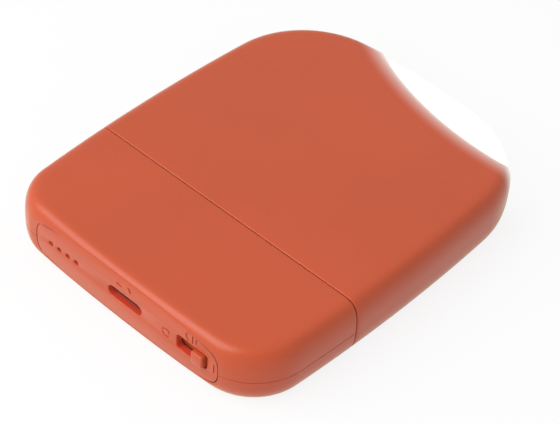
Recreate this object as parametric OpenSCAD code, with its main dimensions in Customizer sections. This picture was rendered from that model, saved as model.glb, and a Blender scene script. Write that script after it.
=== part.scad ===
// Pocket power bank with a camping lamp in its far corner.
// X is the width, Y runs from the port end (-Y) to the lamp end (+Y), Z is up from the resting face.

/* [Body] */
// Width across the waist
body_w = 72; // [71:0.5:76]
// Length from the port end to the lamp end
body_l = 90.5; // [90:0.5:98]
// Thickness from the resting face to the top face
body_t = 14; // [13.5:0.25:16]
// Height of the widest line, where the side rolls over
waist_h = 6.9; // [6.5:0.1:7.3]
// Wall thickness of the shells and the sleeve
wall = 1.6; // [1.3:0.1:1.8]

/* [Outline] */
// Radius of the gently bowed long sides
side_r = 430; // [300:10:900]
// Radius of the gently bowed port end
near_r = 400; // [250:10:900]
// Radius of the bowed lamp end
far_r = 125; // [100:5:180]
// Corner radius at the port end, on the switch's side
near_corner_r = 13.3; // [12:0.1:15]
// Corner radius at the port end, on the indicators' side
indicator_corner_r = 10.4; // [9.5:0.1:13.3]
// Corner radius at the lamp end
far_corner_r = 22; // [19:0.5:24]
// Reach of the rounded edge in from the waist, at the top face
top_edge = 3.8; // [3.2:0.1:4.4]
// Reach of the rounded edge in from the waist, at the resting face
bottom_edge = 5; // [4:0.1:5.5]

/* [Seams] */
// Distance of the cross seam from the port end
seam_from_end = 27.4; // [26.5:0.1:28]
// Width of the cross seam
seam_gap = 0.2; // [0.1:0.05:0.3]
// Height of the parting line between the two near shells
parting_h = 6.7; // [6:0.1:7.2]
// Width of the parting line
parting_gap = 0.1; // [0.05:0.05:0.2]

/* [End panel] */
// Depth of the flat facet below the bowed port end
facet_depth = 1.15; // [1:0.05:1.3]
// Thickness of the end panel
panel_t = 1.6; // [1.2:0.1:1.8]
// Rim of shell left round the panel's opening
panel_rim = 0.15; // [0.1:0.05:0.4]
// Groove between the panel and its opening
panel_gap = 0.12; // [0.08:0.02:0.2]
// Height of the port, the switch and the indicators
port_h = 7.5; // [7.4:0.1:7.8]

/* [USB-C port] */
// Width of the port's opening in the panel
port_w = 9.2; // [9:0.1:9.6]
// Height of the port's opening in the panel
port_t = 2.8; // [2.7:0.1:3.2]

/* [Slide switch] */
// Distance of the switch slot's middle from the body's middle
switch_x = 18; // [17:0.1:18.4]
// Travel of the knob between its end positions
switch_travel = 4; // [3:0.5:4]
// Width of the knob
knob_w = 2.9; // [2.6:0.1:3.2]
// Height of the knob
knob_t = 3; // [2.6:0.1:3.2]
// How far the knob stands out of the panel
knob_out = 0.95; // [0.6:0.05:1]
// Free space above and below the knob in its slot
knob_gap = 0.35; // [0.3:0.05:0.5]
// Free space past the knob at the ends of its travel
slot_end = 0.55; // [0.4:0.05:0.8]

/* [Indicators] */
// Number of charge indicators
lamp_count = 4; // [3:1:5]
// Distance of the first indicator from the body's middle
indicator_x = -20.9; // [-21.5:0.1:-20]
// Spacing of the indicators
indicator_pitch = 2.43; // [2.2:0.01:2.6]
// Diameter of an indicator hole
indicator_d = 1.2; // [1:0.1:1.4]

/* [Lamp] */
// Distance of the notch's centre in from the widest point of the right side
notch_in = 9.7; // [8:0.1:11]
// Distance of the notch's centre beyond the lamp end
notch_out = 68.05; // [67.75:0.05:69]
// Radius of the notch
notch_r = 78.3; // [78:0.1:79]
// Radius of the rolled rim over the notch
rim_r = 2.6; // [2:0.1:3]
// Height of the floor that the sleeve keeps under the lamp
lamp_floor = 2.2; // [2:0.1:2.6]
// Free space between the lens and the sleeve
lens_gap = 0.15; // [0.1:0.05:0.3]
// How far the lens lies under the body's own surface
lens_inset = 0.5; // [0.3:0.1:0.8]
// Number of lamp LEDs
led_count = 6; // [4:1:7]

/* [Battery] */
// Width of the cell
cell_w = 60; // [54:1:60]
// Length of the cell
cell_l = 44; // [38:1:44]
// Free space over the cell, where the lamp's ribbon runs
cell_room = 0.8; // [0.7:0.1:1.5]

/* [Hidden] */

// Colours
ORANGE = [0.78, 0.38, 0.28];
LENS_WHITE = [0.97, 0.97, 0.95];
TRAY_GREY = [0.28, 0.29, 0.31];
BOARD_GREEN = [0.08, 0.3, 0.2];
STEEL = [0.75, 0.76, 0.78];
GOLD = [0.85, 0.68, 0.35];
BLACK = [0.09, 0.09, 0.1];
CELL_SILVER = [0.72, 0.74, 0.77];

// Frame
big = 200;
over = 0.5;
half_l = body_l / 2;
panel_y = facet_depth - half_l;
panel_back = panel_y + panel_t;
seam_y = seam_from_end - half_l;
ceiling = body_t - wall;

// Shapes of the rounded edges: powers of the curve from the waist to the flat
top_power = 2.9;
bottom_power = 2.8;

// Battery: the cell starts just behind the cross seam
pad_t = 0.4;
cell_side_gap = 0.2;
cell_y0 = seam_y + 0.85;

// Chassis: a skid on the shells' flat floor carries a wider deck, whose rails hold the cell
skid_t = 1;
deck_t = 0.8;
deck_top = wall + skid_t + deck_t;
cell_z0 = deck_top + pad_t;
cell_t = ceiling - cell_room - cell_z0;
rail_t = 1;
rail_h = 6;
skid_gap = 0.28;
skid_y0 = near_corner_r + 0.95 - half_l;
skid_y1 = half_l - far_corner_r - 2.25;
skid_bow = side_r - sqrt(side_r * side_r - skid_y0 * skid_y0);
skid_w = body_w - 2 * (wall + bottom_edge + skid_bow + skid_gap);
deck_w = cell_w + 2 * (rail_t + cell_side_gap);
deck_reach = 0.26;
deck_gap = 0.5;
deck_bow_r = side_r - wall - deck_reach * bottom_edge;
deck_bow_y = sqrt(pow(deck_bow_r, 2) - pow(side_r + (deck_w - body_w) / 2, 2));
deck_y0 = max(near_corner_r - 0.85 - half_l, deck_gap - deck_bow_y);

// Boards: the main board lies between the bosses, at the height that centres the port
board_t = 1;
guard_t = 0.8;
guard_l = 3;
guard_w = 32;
guard_y0 = cell_y0 - guard_l - 0.4;
usb_h = 3.2;
board_top = port_h - usb_h / 2;
board_y0 = panel_back + 0.9;
board_y1 = guard_y0 - 1.1;
boss_d = 4;
boss_x = deck_w / 2 - 4.2;
boss_y = seam_y - 6.65;
board_w = 2 * (boss_x - boss_d / 2 - 1);
stand_x = board_w / 2 - 3;
stand_y = board_y0 + 10.6;
rib_x = 10;
guard_rib_x = 12;

// Screws
screw_d = 1.6;
screw_head_d = 3;
screw_head_t = 0.8;
thread_gap = 0.1;

// Port
usb_w = 8.94;
usb_l = 7.3;
usb_wall = 0.3;
usb_y0 = panel_back + 0.1;
tongue_w = 6.7;
tongue_t = 0.7;
tongue_l = 4.6;
contact_count = 12;
contact_pitch = 0.5;
contact_w = 0.25;
contact_t = 0.08;

// Switch: the knob rests at the right end of its slot
slot_w = switch_travel + knob_w + 2 * slot_end;
slot_t = knob_t + 2 * knob_gap;
slot_round = 0.7;
knob_x = switch_x + switch_travel / 2;
flange_left = switch_travel + knob_w / 2 + slot_end + 0.5;
flange_right = knob_w / 2 + 3.05;
flange_t = 0.4;
flange_h = 4.4;
flange_y = panel_back + 0.3;
lever_w = 1.2;
lever_t = 1.6;
lever_gap = 0.1;
can_l = 4;
can_t = 3.5;
can_wall = 0.4;
lever_foot_w = 3;
can_w = switch_travel + lever_foot_w + 2 * can_wall + 1.8;
can_y0 = flange_y + flange_t + 0.6;
lever_back = can_y0 + 1.7;

// Indicators
lens_pin_d = indicator_d - 0.1;
lens_recess = 0.9;
bar_y1 = panel_back + 2.2;

// Battery leads
tab_t = 0.2;
wire_d = 1;

// Lamp: a curved strip of LEDs stands behind the notch's wall
notch_x = body_w / 2 - notch_in;
notch_y = half_l + notch_out;
strip_t = 0.6;
strip_r = notch_r + 0.7;
lens_back_r = strip_r - 0.1;
strip_z = 4.4;
strip_top_gap = 0.55;
mirror_t = 1;
mirror_z = 3;
lamp_a0 = -113;
lamp_a1 = -91;
led_w = 3;
led_h = 2.6;
led_t = 0.6;
solder_t = 0.1;
lens_wall = 1.3;
lens_roof = ceiling - lens_gap - lens_wall;
strip_h = lens_roof - strip_top_gap - strip_z;
mirror_h = strip_z + strip_h - mirror_z;
ribbon_x = stand_x + 0.5;
ribbon_w = 5;
ribbon_t = 0.25;
ribbon_gap = 0.09;

// ---- Outline of the body ----

// Centre of the corner arc that touches both the side arc and an end arc
function corner_centre(end_r, corner_r) =
    let (
        sx = body_w / 2 - side_r,
        ey = half_l - end_r,
        p = side_r - corner_r,
        q = end_r - corner_r,
        d = norm([sx, ey]),
        k = (p * p - q * q + d * d) / (2 * d),
        h = sqrt(p * p - k * k)
    )
    [sx - k * sx / d - h * ey / d, k * ey / d - h * sx / d];

// An outline station is [centre x, centre y, radius, angle], so that an inset only shortens the radius
function stations(c, r, a0, a1, n) =
    [for (i = [0 : n - 1]) [c[0], c[1], r, a0 + (a1 - a0) * i / n]];

// Stations of the quarter from the side's middle to an end's middle, with n[0], n[1], n[2] steps
function quarter(end_r, corner_r, n) =
    let (
        c = corner_centre(end_r, corner_r),
        side_c = [body_w / 2 - side_r, 0],
        end_c = [0, half_l - end_r],
        a1 = atan2(c[1], c[0] - side_c[0]),
        a2 = atan2(c[1] - end_c[1], c[0])
    )
    concat(
        stations(side_c, side_r, 0, a1, n[0]),
        stations(c, corner_r, a1, a2, n[1]),
        stations(end_c, end_r, a2, 90, n[2]),
        [[0, end_c[1], end_r, 90]]
    );

function flip_x(v) = [for (p = v) [-p[0], p[1], p[2], 180 - p[3]]];
function flip_y(v) = [for (p = v) [p[0], -p[1], p[2], -p[3]]];
function inner_reversed(v) = [for (i = [len(v) - 2 : -1 : 1]) v[i]];
function reversed(v) = [for (i = [len(v) - 1 : -1 : 0]) v[i]];

// The closed outline, anticlockwise from the right side's middle
function outline(n) =
    let (
        far = quarter(far_r, far_corner_r, n),
        near = quarter(near_r, near_corner_r, n),
        near_left = quarter(near_r, indicator_corner_r, n),
        left_side = [side_r - body_w / 2, 0, side_r, 180]
    )
    concat(
        far,
        inner_reversed(flip_x(far)),
        [left_side],
        [for (i = [1 : len(near_left) - 1]) flip_x(flip_y(near_left))[i]],
        inner_reversed(flip_y(near))
    );

// Edge curve from the waist (t = 0) to the flat (t = 90): [reach inward, rise], both 0 to 1
function edge(t, power) = [1 - pow(cos(t), 2 / power), pow(sin(t), 2 / power)];

// Levels [inset, height] from the lower flat to the upper flat of the body drawn in by g all round
function levels(g, n) = concat(
    [for (i = [n : -1 : 1])
        let (e = edge(90 * i / n, bottom_power))
        [g + bottom_edge * e[0], waist_h - (waist_h - g) * e[1]]],
    [[g, waist_h]],
    [for (i = [1 : n])
        let (e = edge(90 * i / n, top_power))
        [g + top_edge * e[0], waist_h + (body_t - g - waist_h) * e[1]]]
);

fine = [5, 10, 6];
plain = [3, 6, 4];

// The body's own smooth form, drawn in by g all round
module form(g, steps = fine, rows = 8) {
    loop = outline(steps);
    rings = levels(g, rows);
    n = len(loop);
    m = len(rings);
    points = [
        for (r = rings)
            for (s = loop)
                [s[0] + (s[2] - r[0]) * cos(s[3]), s[1] + (s[2] - r[0]) * sin(s[3]), r[1]]
    ];
    faces = concat(
        [[for (i = [0 : n - 1]) i]],
        [[for (i = [n - 1 : -1 : 0]) (m - 1) * n + i]],
        [for (k = [0 : m - 2]) for (i = [0 : n - 1])
            [k * n + i, (k + 1) * n + i, (k + 1) * n + (i + 1) % n]],
        [for (k = [0 : m - 2]) for (i = [0 : n - 1])
            [k * n + i, (k + 1) * n + (i + 1) % n, k * n + (i + 1) % n]]
    );
    polyhedron(points, faces, convexity = 6);
}

// A slice of space from y0 to y1 and from z0 to z1
module slice(y0, y1, z0 = -1, z1 = body_t + 1) {
    translate([-big / 2, y0, z0]) cube([big, y1 - y0, z1 - z0]);
}

// A box given by its middle in X, and by its low corner in Y and Z
module block(x, y0, z0, size) {
    translate([x - size[0] / 2, y0, z0]) cube(size);
}

// ---- End panel outline: where the plane of the facet cuts the form, the same at both its ends ----

// Half width of the cut at a level's inset
function facet_half(g, y) =
    let (
        c = corner_centre(near_r, near_corner_r),
        r = near_corner_r - g,
        rise = y - c[1],
        on_corner = r > rise ? c[0] + sqrt(r * r - rise * rise) : -1,
        ec = half_l - near_r,
        er = near_r - g,
        on_end = er > y - ec ? sqrt(er * er - (y - ec) * (y - ec)) : -1,
        joint = c[0] * (near_r - g) / (near_r - near_corner_r)
    )
    on_end < 0 ? -1 : (on_end < joint ? on_end : on_corner);

module facet_outline() {
    cut = [
        for (l = levels(0, 16))
            let (x = facet_half(l[0], -panel_y))
            if (x > 0) [x, l[1]]
    ];
    polygon(concat(cut, [for (p = reversed(cut)) [-p[0], p[1]]]));
}

// The panel's outline drawn in by d, as a prism from y0 to y1
module panel_prism(d, y0, y1) {
    translate([0, y1, 0])
        rotate([90, 0, 0])
            linear_extrude(y1 - y0)
                offset(delta = -d)
                    facet_outline();
}

// A round-ended slot along X, through the panel
module slot(x, z, w, t) {
    straight = (w - t) / 2;
    translate([x, panel_back + over, z])
        rotate([90, 0, 0])
            linear_extrude(panel_t + 2 * over) {
                square([2 * straight, t], center = true);
                for (s = [-1, 1])
                    translate([s * straight, 0])
                        circle(d = t, $fn = 48);
            }
}

// A slot with rounded corners, through the panel
module rounded_slot(x, z, w, t, r) {
    translate([x, panel_back + over, z])
        rotate([90, 0, 0])
            linear_extrude(panel_t + 2 * over) {
                square([w - 2 * r, t], center = true);
                square([w, t - 2 * r], center = true);
                for (sx = [-1, 1], sz = [-1, 1])
                    translate([sx * (w / 2 - r), sz * (t / 2 - r)])
                        circle(r = r, $fn = 48);
            }
}

// ---- Outer pieces ----

// The notch that the lamp fills, with a round wall
module notch(r, z0) {
    translate([notch_x, notch_y, z0])
        cylinder(r = r, h = body_t, $fn = 360);
}

// The rolled rim over the notch
module rim_cutter() {
    drop = 0.35;
    translate([notch_x, notch_y, 0])
        rotate_extrude($fn = 360)
            difference() {
                translate([notch_r - 1, body_t - rim_r - drop])
                    square([rim_r + 1, rim_r + 1]);
                translate([notch_r + rim_r, body_t - rim_r - drop])
                    circle(r = rim_r, $fn = 64);
            }
}

module sleeve() {
    color(ORANGE)
        difference() {
            form(0);
            form(wall, plain, 5);
            slice(-big / 2, seam_y + seam_gap / 2);
            notch(notch_r, lamp_floor);
            rim_cutter();
        }
}

module near_shell(z0, z1) {
    intersection() {
        difference() {
            form(0);
            form(wall, plain, 5);
            panel_prism(panel_rim, -half_l - 1, panel_back + 1);
        }
        slice(panel_y, seam_y - seam_gap / 2, z0, z1);
    }
}

module top_shell() {
    color(ORANGE)
        difference() {
            union() {
                near_shell(parting_h + parting_gap / 2, body_t + 1);
                for (s = [-1, 1])
                    translate([s * boss_x, boss_y, deck_top])
                        cylinder(d = boss_d, h = ceiling + 0.4 - deck_top, $fn = 48);
            }
            for (s = [-1, 1])
                translate([s * boss_x, boss_y, deck_top - 1])
                    cylinder(d = screw_d + thread_gap, h = 7, $fn = 32);
        }
}

module bottom_shell() {
    color(ORANGE)
        near_shell(-1, parting_h - parting_gap / 2);
}

module end_panel() {
    color(ORANGE)
        difference() {
            panel_prism(panel_rim + panel_gap, panel_y, panel_back);
            slot(0, port_h, port_w, port_t);
            rounded_slot(switch_x, port_h, slot_w, slot_t, slot_round);
            for (i = [0 : lamp_count - 1])
                translate([indicator_x + i * indicator_pitch, panel_back + over, port_h])
                    rotate([90, 0, 0])
                        cylinder(d = indicator_d, h = panel_t + 2 * over, $fn = 32);
        }
}

// ---- Chassis ----

module chassis() {
    color(TRAY_GREY)
        difference() {
            union() {
                block(0, skid_y0, wall, [skid_w, skid_y1 - skid_y0, skid_t]);
                block(0, deck_y0, wall + skid_t, [deck_w, cell_y0 + cell_l - deck_y0, deck_t]);
                for (s = [-1, 1]) {
                    block(s * (deck_w - rail_t) / 2, cell_y0, deck_top - over,
                        [rail_t, cell_l, rail_h + over]);
                    translate([s * stand_x, stand_y, deck_top - over])
                        cylinder(d = boss_d, h = board_top - board_t - deck_top + over, $fn = 48);
                    block(s * guard_rib_x, guard_y0 + 0.3, deck_top - over,
                        [3, guard_l - 0.6, board_top - guard_t - deck_top + over]);
                    block(s * rib_x, deck_y0, deck_top - over,
                        [6, 2, board_top - board_t - deck_top + over]);
                }
            }
            for (s = [-1, 1]) {
                translate([s * boss_x, boss_y, 0])
                    cylinder(d = screw_d + 0.4, h = body_t, $fn = 32);
                translate([s * boss_x, boss_y, 0])
                    cylinder(d = screw_head_d + 0.4, h = wall + skid_t, $fn = 48);
                translate([s * stand_x, stand_y, wall + 0.4])
                    cylinder(d = screw_d + thread_gap, h = body_t, $fn = 32);
            }
        }
}

// A screw with its head's bearing face at the origin and its shank pointing down
module screw(length) {
    cylinder(d = screw_head_d, h = screw_head_t, $fn = 48);
    translate([0, 0, -length])
        cylinder(d = screw_d, h = length + screw_head_t / 2, $fn = 32);
}

module chassis_screws() {
    color(STEEL)
        for (s = [-1, 1])
            translate([s * boss_x, boss_y, wall + skid_t])
                mirror([0, 0, 1])
                    screw(6);
}

module board_screws() {
    color(STEEL)
        for (s = [-1, 1])
            translate([s * stand_x, stand_y, board_top])
                screw(3.4);
}

// ---- Boards and port ----

module main_board() {
    color(BOARD_GREEN)
        difference() {
            block(0, board_y0, board_top - board_t, [board_w, board_y1 - board_y0, board_t]);
            for (s = [-1, 1])
                translate([s * stand_x, stand_y, 0])
                    cylinder(d = screw_d + 0.3, h = body_t, $fn = 32);
        }
}

// Round-ended outline in XZ, extruded along Y
module stadium(w, t, y0, length) {
    straight = (w - t) / 2;
    translate([0, y0 + length, port_h])
        rotate([90, 0, 0])
            linear_extrude(length) {
                square([2 * straight, t], center = true);
                for (s = [-1, 1])
                    translate([s * straight, 0])
                        circle(d = t, $fn = 48);
            }
}

module usb_shell() {
    color(STEEL)
        difference() {
            stadium(usb_w, usb_h, usb_y0, usb_l);
            stadium(usb_w - 2 * usb_wall, usb_h - 2 * usb_wall, usb_y0 - 1, usb_l + 1 - usb_wall);
        }
}

module usb_tongue() {
    root = 1.4;
    back = usb_y0 + usb_l - usb_wall;
    color(BLACK) {
        block(0, back - root - tongue_l, port_h - tongue_t / 2, [tongue_w, tongue_l + over, tongue_t]);
        stadium(usb_w - 2 * usb_wall - 0.1, usb_h - 2 * usb_wall - 0.1, back - root, root);
    }
}

module usb_contacts() {
    front = usb_y0 + usb_l - usb_wall - 1.4 - tongue_l + 0.5;
    color(GOLD)
        for (i = [0 : contact_count - 1], s = [-1, 1])
            block((i - (contact_count - 1) / 2) * contact_pitch, front,
                port_h + (s > 0 ? tongue_t / 2 : -tongue_t / 2 - contact_t),
                [contact_w, 3.2, contact_t]);
}

// ---- Slide switch ----

module switch_body() {
    color(STEEL)
        difference() {
            block(switch_x, can_y0, board_top, [can_w, can_l, can_t]);
            block(switch_x, can_y0 + can_wall, board_top + can_wall,
                [can_w - 2 * can_wall, can_l - 2 * can_wall, can_t - 2 * can_wall]);
            block(switch_x, can_y0 - 1, port_h - lever_t / 2 - 0.3,
                [switch_travel + lever_w + 0.8, 2, lever_t + 0.6]);
        }
}

module switch_contacts() {
    depth = 0.2;
    color(GOLD)
        for (i = [-1 : 1])
            block(switch_x + i * 2.2, can_y0 + can_l - can_wall - depth, port_h - 0.8, [1.6, depth, 1.6]);
}

module switch_lever() {
    foot = 1;
    color(BLACK) {
        block(knob_x, panel_y + 0.8, port_h - lever_t / 2, [lever_w, lever_back - panel_y - 0.8, lever_t]);
        block(knob_x, lever_back - foot, port_h - 1, [lever_foot_w, foot, 2]);
    }
}

module switch_wiper() {
    color(GOLD)
        block(knob_x, lever_back, port_h - 0.7, [2.6, 0.3, 1.4]);
}

module switch_knob() {
    front = panel_y - knob_out;
    color(ORANGE)
        difference() {
            union() {
                block(knob_x, front, port_h - knob_t / 2, [knob_w, flange_y - front + flange_t / 2, knob_t]);
                block(knob_x + (flange_right - flange_left) / 2, flange_y, port_h - flange_h / 2,
                    [flange_left + flange_right, flange_t, flange_h]);
            }
            block(knob_x, panel_y + 0.7, port_h - lever_t / 2 - lever_gap,
                [lever_w + 2 * lever_gap, 5, lever_t + 2 * lever_gap]);
        }
}

// ---- Indicators ----

module indicator_lenses() {
    last = indicator_x + (lamp_count - 1) * indicator_pitch;
    color(LENS_WHITE) {
        block((indicator_x + last) / 2, panel_back, port_h - 0.9,
            [last - indicator_x + 1.8, bar_y1 - panel_back, 1.8]);
        for (i = [0 : lamp_count - 1])
            translate([indicator_x + i * indicator_pitch, panel_back + over, port_h])
                rotate([90, 0, 0])
                    cylinder(d = lens_pin_d, h = panel_t - lens_recess + over, $fn = 32);
    }
}

module indicator_leds() {
    color(LENS_WHITE)
        for (i = [0 : lamp_count - 1])
            block(indicator_x + i * indicator_pitch, board_y0 + 0.2, board_top, [1.2, 0.8, 0.5]);
}

// ---- Parts on the board ----

module power_inductor() {
    color(BLACK)
        block(-8, board_y0 + 8.6, board_top, [7, 6.6, 3]);
}

module control_chips() {
    color(BLACK) {
        block(1.5, board_y0 + 9.6, board_top, [5, 5, 0.9]);
        block(9.5, board_y0 + 11.6, board_top, [4, 5, 1]);
        block(2, board_y0 + 16.1, board_top, [4.4, 3, 1]);
    }
}

module capacitors() {
    color([0.62, 0.5, 0.38]) {
        for (i = [0 : 3])
            block(-15.5, board_y0 + 7.6 + 2.4 * i, board_top, [2, 1.25, 1.1]);
        for (i = [0 : 3])
            block(-10 + 2.2 * i, board_y0 + 16.6, board_top, [1.2, 2, 0.9]);
    }
}

// ---- Battery ----

module battery_pad() {
    color(BLACK)
        block(0, cell_y0 + 2, deck_top, [cell_w - 6, cell_l - 4, pad_t]);
}

module battery_cell() {
    seal = 1.2;
    color(CELL_SILVER) {
        block(0, cell_y0 + seal, cell_z0, [cell_w, cell_l - seal, cell_t]);
        block(0, cell_y0, cell_z0 + cell_t / 2 - seal / 2, [cell_w - 8, seal + over, seal]);
    }
}

module protection_board() {
    color(BOARD_GREEN)
        block(0, guard_y0, board_top - guard_t, [guard_w, guard_l, guard_t]);
}

module battery_tabs() {
    color(STEEL)
        for (s = [-1, 1])
            block(s * 8, cell_y0 - 2, board_top, [4, 2 + 1.2, tab_t]);
}

module battery_wires() {
    for (s = [-1, 1])
        color(s > 0 ? [0.75, 0.1, 0.1] : BLACK)
            translate([s * 13, guard_y0 + 1.6, board_top + wire_d / 2])
                rotate([90, 0, 0])
                    cylinder(d = wire_d, h = 5, $fn = 32);
}

// ---- Lamp ----

// A wall that follows the notch, from radius r0 to r1
module arc_wall(r0, r1, z0, h) {
    a0 = 360 + lamp_a0;
    sweep = lamp_a1 - lamp_a0;
    translate([notch_x, notch_y, z0])
        rotate([0, 0, a0])
            rotate_extrude(angle = sweep, $fn = 360)
                translate([r0, 0])
                    square([r1 - r0, h]);
}

module lamp_diffuser() {
    color(LENS_WHITE)
        intersection() {
            difference() {
                union() {
                    intersection() {
                        form(lens_inset);
                        notch(notch_r - lens_gap, 0);
                    }
                    intersection() {
                        form(wall + lens_gap, plain, 5);
                        notch(lens_back_r, 0);
                    }
                }
                form(wall + lens_gap + lens_wall, plain, 5);
            }
            slice(0, big, lamp_floor + lens_gap, body_t);
        }
}

module lamp_reflector() {
    color(LENS_WHITE)
        arc_wall(strip_r + strip_t, strip_r + strip_t + mirror_t, mirror_z, mirror_h);
}

module lamp_board() {
    color([0.9, 0.9, 0.88])
        arc_wall(strip_r, strip_r + strip_t, strip_z, strip_h);
}

module lamp_leds() {
    step = (lamp_a1 - lamp_a0) / led_count;
    color([0.95, 0.9, 0.6])
        for (i = [0 : led_count - 1])
            translate([notch_x, notch_y, strip_z + strip_h / 2])
                rotate([0, 0, lamp_a0 + (i + 0.5) * step])
                    translate([strip_r - solder_t - led_t, -led_w / 2, -led_h / 2])
                        cube([led_t, led_w, led_h]);
}

module lamp_ribbon() {
    z1 = ceiling - 0.35;
    y0 = board_y1 - 3;
    nearest = max(0, abs(ribbon_x - notch_x) - ribbon_w / 2);
    y1 = notch_y - sqrt(pow(lens_back_r + ribbon_gap, 2) - nearest * nearest);
    color([0.85, 0.55, 0.2]) {
        block(ribbon_x, y0, board_top, [ribbon_w, 4.6, ribbon_t]);
        block(ribbon_x, y0 + 4.6 - ribbon_t, board_top, [ribbon_w, ribbon_t, z1 - board_top]);
        block(ribbon_x, y0 + 4.6 - ribbon_t, z1 - ribbon_t, [ribbon_w, y1 - y0 - 4.6 + ribbon_t, ribbon_t]);
        block(ribbon_x, y1 - ribbon_t, strip_z + strip_h, [ribbon_w, ribbon_t, z1 - strip_z - strip_h]);
    }
}

sleeve();
top_shell();
bottom_shell();
end_panel();
chassis();
chassis_screws();
main_board();
board_screws();
usb_shell();
usb_tongue();
usb_contacts();
switch_body();
switch_contacts();
switch_lever();
switch_wiper();
switch_knob();
indicator_lenses();
indicator_leds();
power_inductor();
control_chips();
capacitors();
battery_cell();
battery_pad();
battery_tabs();
protection_board();
battery_wires();
lamp_diffuser();
lamp_reflector();
lamp_board();
lamp_leds();
lamp_ribbon();
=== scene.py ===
"""Pocket power bank with a camping lamp in its far corner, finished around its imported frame.

Lengths are in metres, in the frame's own axes: X is the width, Y runs from the port end to the
lamp end, Z is up from the resting face. Outline work is done in millimetres and scaled once.
"""

import math

import bmesh
import bpy
import numpy as np
from bpy.props import FloatProperty, FloatVectorProperty, IntProperty, PointerProperty
from mathutils import Matrix, Vector


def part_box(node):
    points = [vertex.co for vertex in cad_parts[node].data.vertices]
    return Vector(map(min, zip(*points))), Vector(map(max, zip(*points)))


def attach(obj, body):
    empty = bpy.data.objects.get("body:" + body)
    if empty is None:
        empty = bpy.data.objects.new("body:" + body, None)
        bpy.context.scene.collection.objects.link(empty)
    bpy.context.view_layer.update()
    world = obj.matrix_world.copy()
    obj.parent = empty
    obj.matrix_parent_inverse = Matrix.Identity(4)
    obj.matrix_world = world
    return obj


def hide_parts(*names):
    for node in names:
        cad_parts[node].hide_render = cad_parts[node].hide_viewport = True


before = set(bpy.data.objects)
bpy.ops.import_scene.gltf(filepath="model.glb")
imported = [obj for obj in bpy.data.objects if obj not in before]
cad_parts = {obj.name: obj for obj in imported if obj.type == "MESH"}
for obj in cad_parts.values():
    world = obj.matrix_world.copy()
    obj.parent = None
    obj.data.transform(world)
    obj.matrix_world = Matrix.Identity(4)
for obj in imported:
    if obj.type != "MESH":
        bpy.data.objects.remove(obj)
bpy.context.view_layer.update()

bl_info = {
    "name": "Camping power bank",
    "version": (1, 0, 0),
    "blender": (4, 5, 0),
    "location": "3D View > Sidebar > Power Bank",
    "description": "Makes the shells, the port end, the lamp and the finishes of a pocket power bank",
    "category": "Add Mesh",
}

MM = 0.001
PANEL_LOW, PANEL_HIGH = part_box("end_panel")
KNOB_LOW, KNOB_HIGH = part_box("switch_knob")
LENS_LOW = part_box("lamp_diffuser")[0]
PORT_LOW, PORT_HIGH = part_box("usb_shell")
SLEEVE_LOW, SLEEVE_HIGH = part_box("sleeve")
NEAR_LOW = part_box("top_shell")[0]

# How finely the rounded body is drawn: steps along a side, a corner and an end
SLEEVE_STEPS, LENS_STEPS, FLANGE_STEPS, HOLLOW_STEPS = (14, 34, 26), (10, 30, 22), (8, 18, 14), (8, 16, 12)
SLEEVE_ROWS, LENS_ROWS, HIDDEN_ROWS = 18, 16, 8

# How finely the near shells are drawn, and in millimetres their facet's rounding and first ring spacing
RAYS, LIP_STEPS, SEAM_STEPS = 150, 3, 4
FACET_LIP, RING_STEP, RING_GROWTH, WIDEST_STEP = 0.16, 0.12, 1.22, 0.9

# The notch's cutter and the lens's wedge: from and to in degrees, and how far past the top in metres
NOTCH_SWEEP, LENS_SWEEP = (-130.0, -50.0), (-132.0, -48.0)
NOTCH_SWEEP_STEPS, LENS_SWEEP_STEPS = 150, 130
ABOVE_TOP = 0.002

# The stage: angles in degrees, places in metres, powers in watts
VIEW_AZIMUTH, VIEW_ELEVATION, VIEW_ROLL = 39.804, 43.803, 4.70
VIEW_AIM, VIEW_SHIFT, VIEW_DISTANCE = (0, 0, 0.00703), (-0.000593, -0.003982), 0.34769
FOCAL_LENGTH, SENSOR_WIDTH = 109.6, 36.0
LIGHTS = {
    "key": {"place": (-0.2, -0.46, 0.45), "aim": (0, -0.02, 0), "size": (0.66, 0.5), "power": 4.1},
    "overhead": {"place": (-0.05, 0.1, 0.7), "aim": (0, 0, 0), "size": (0.9, 0.9), "power": 0.5},
}
SOFT_SURROUNDINGS = 0.5
FLOOR_RADIUS, FLOOR_DROP, FLOOR_WHITENING = 4.0, 0.00002, 0.86


# ---- Sizes and colours that a user would change ----


def length(name, description, default):
    """A size in metres"""
    return FloatProperty(name=name, description=description, default=default,
                         unit="LENGTH", subtype="DISTANCE", precision=5)


def colour(name, description, default):
    """A colour, as linear red, green and blue"""
    return FloatVectorProperty(name=name, description=description, default=default,
                               size=3, min=0, max=1, subtype="COLOR")


def rgb(red, green, blue):
    """A colour given from 0 to 255 on a screen, as the linear values that a shader takes."""
    def linear(share):
        return share / 12.92 if share <= 0.04045 else ((share + 0.055) / 1.055) ** 2.4
    return tuple(linear(c / 255) for c in (red, green, blue))


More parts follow.
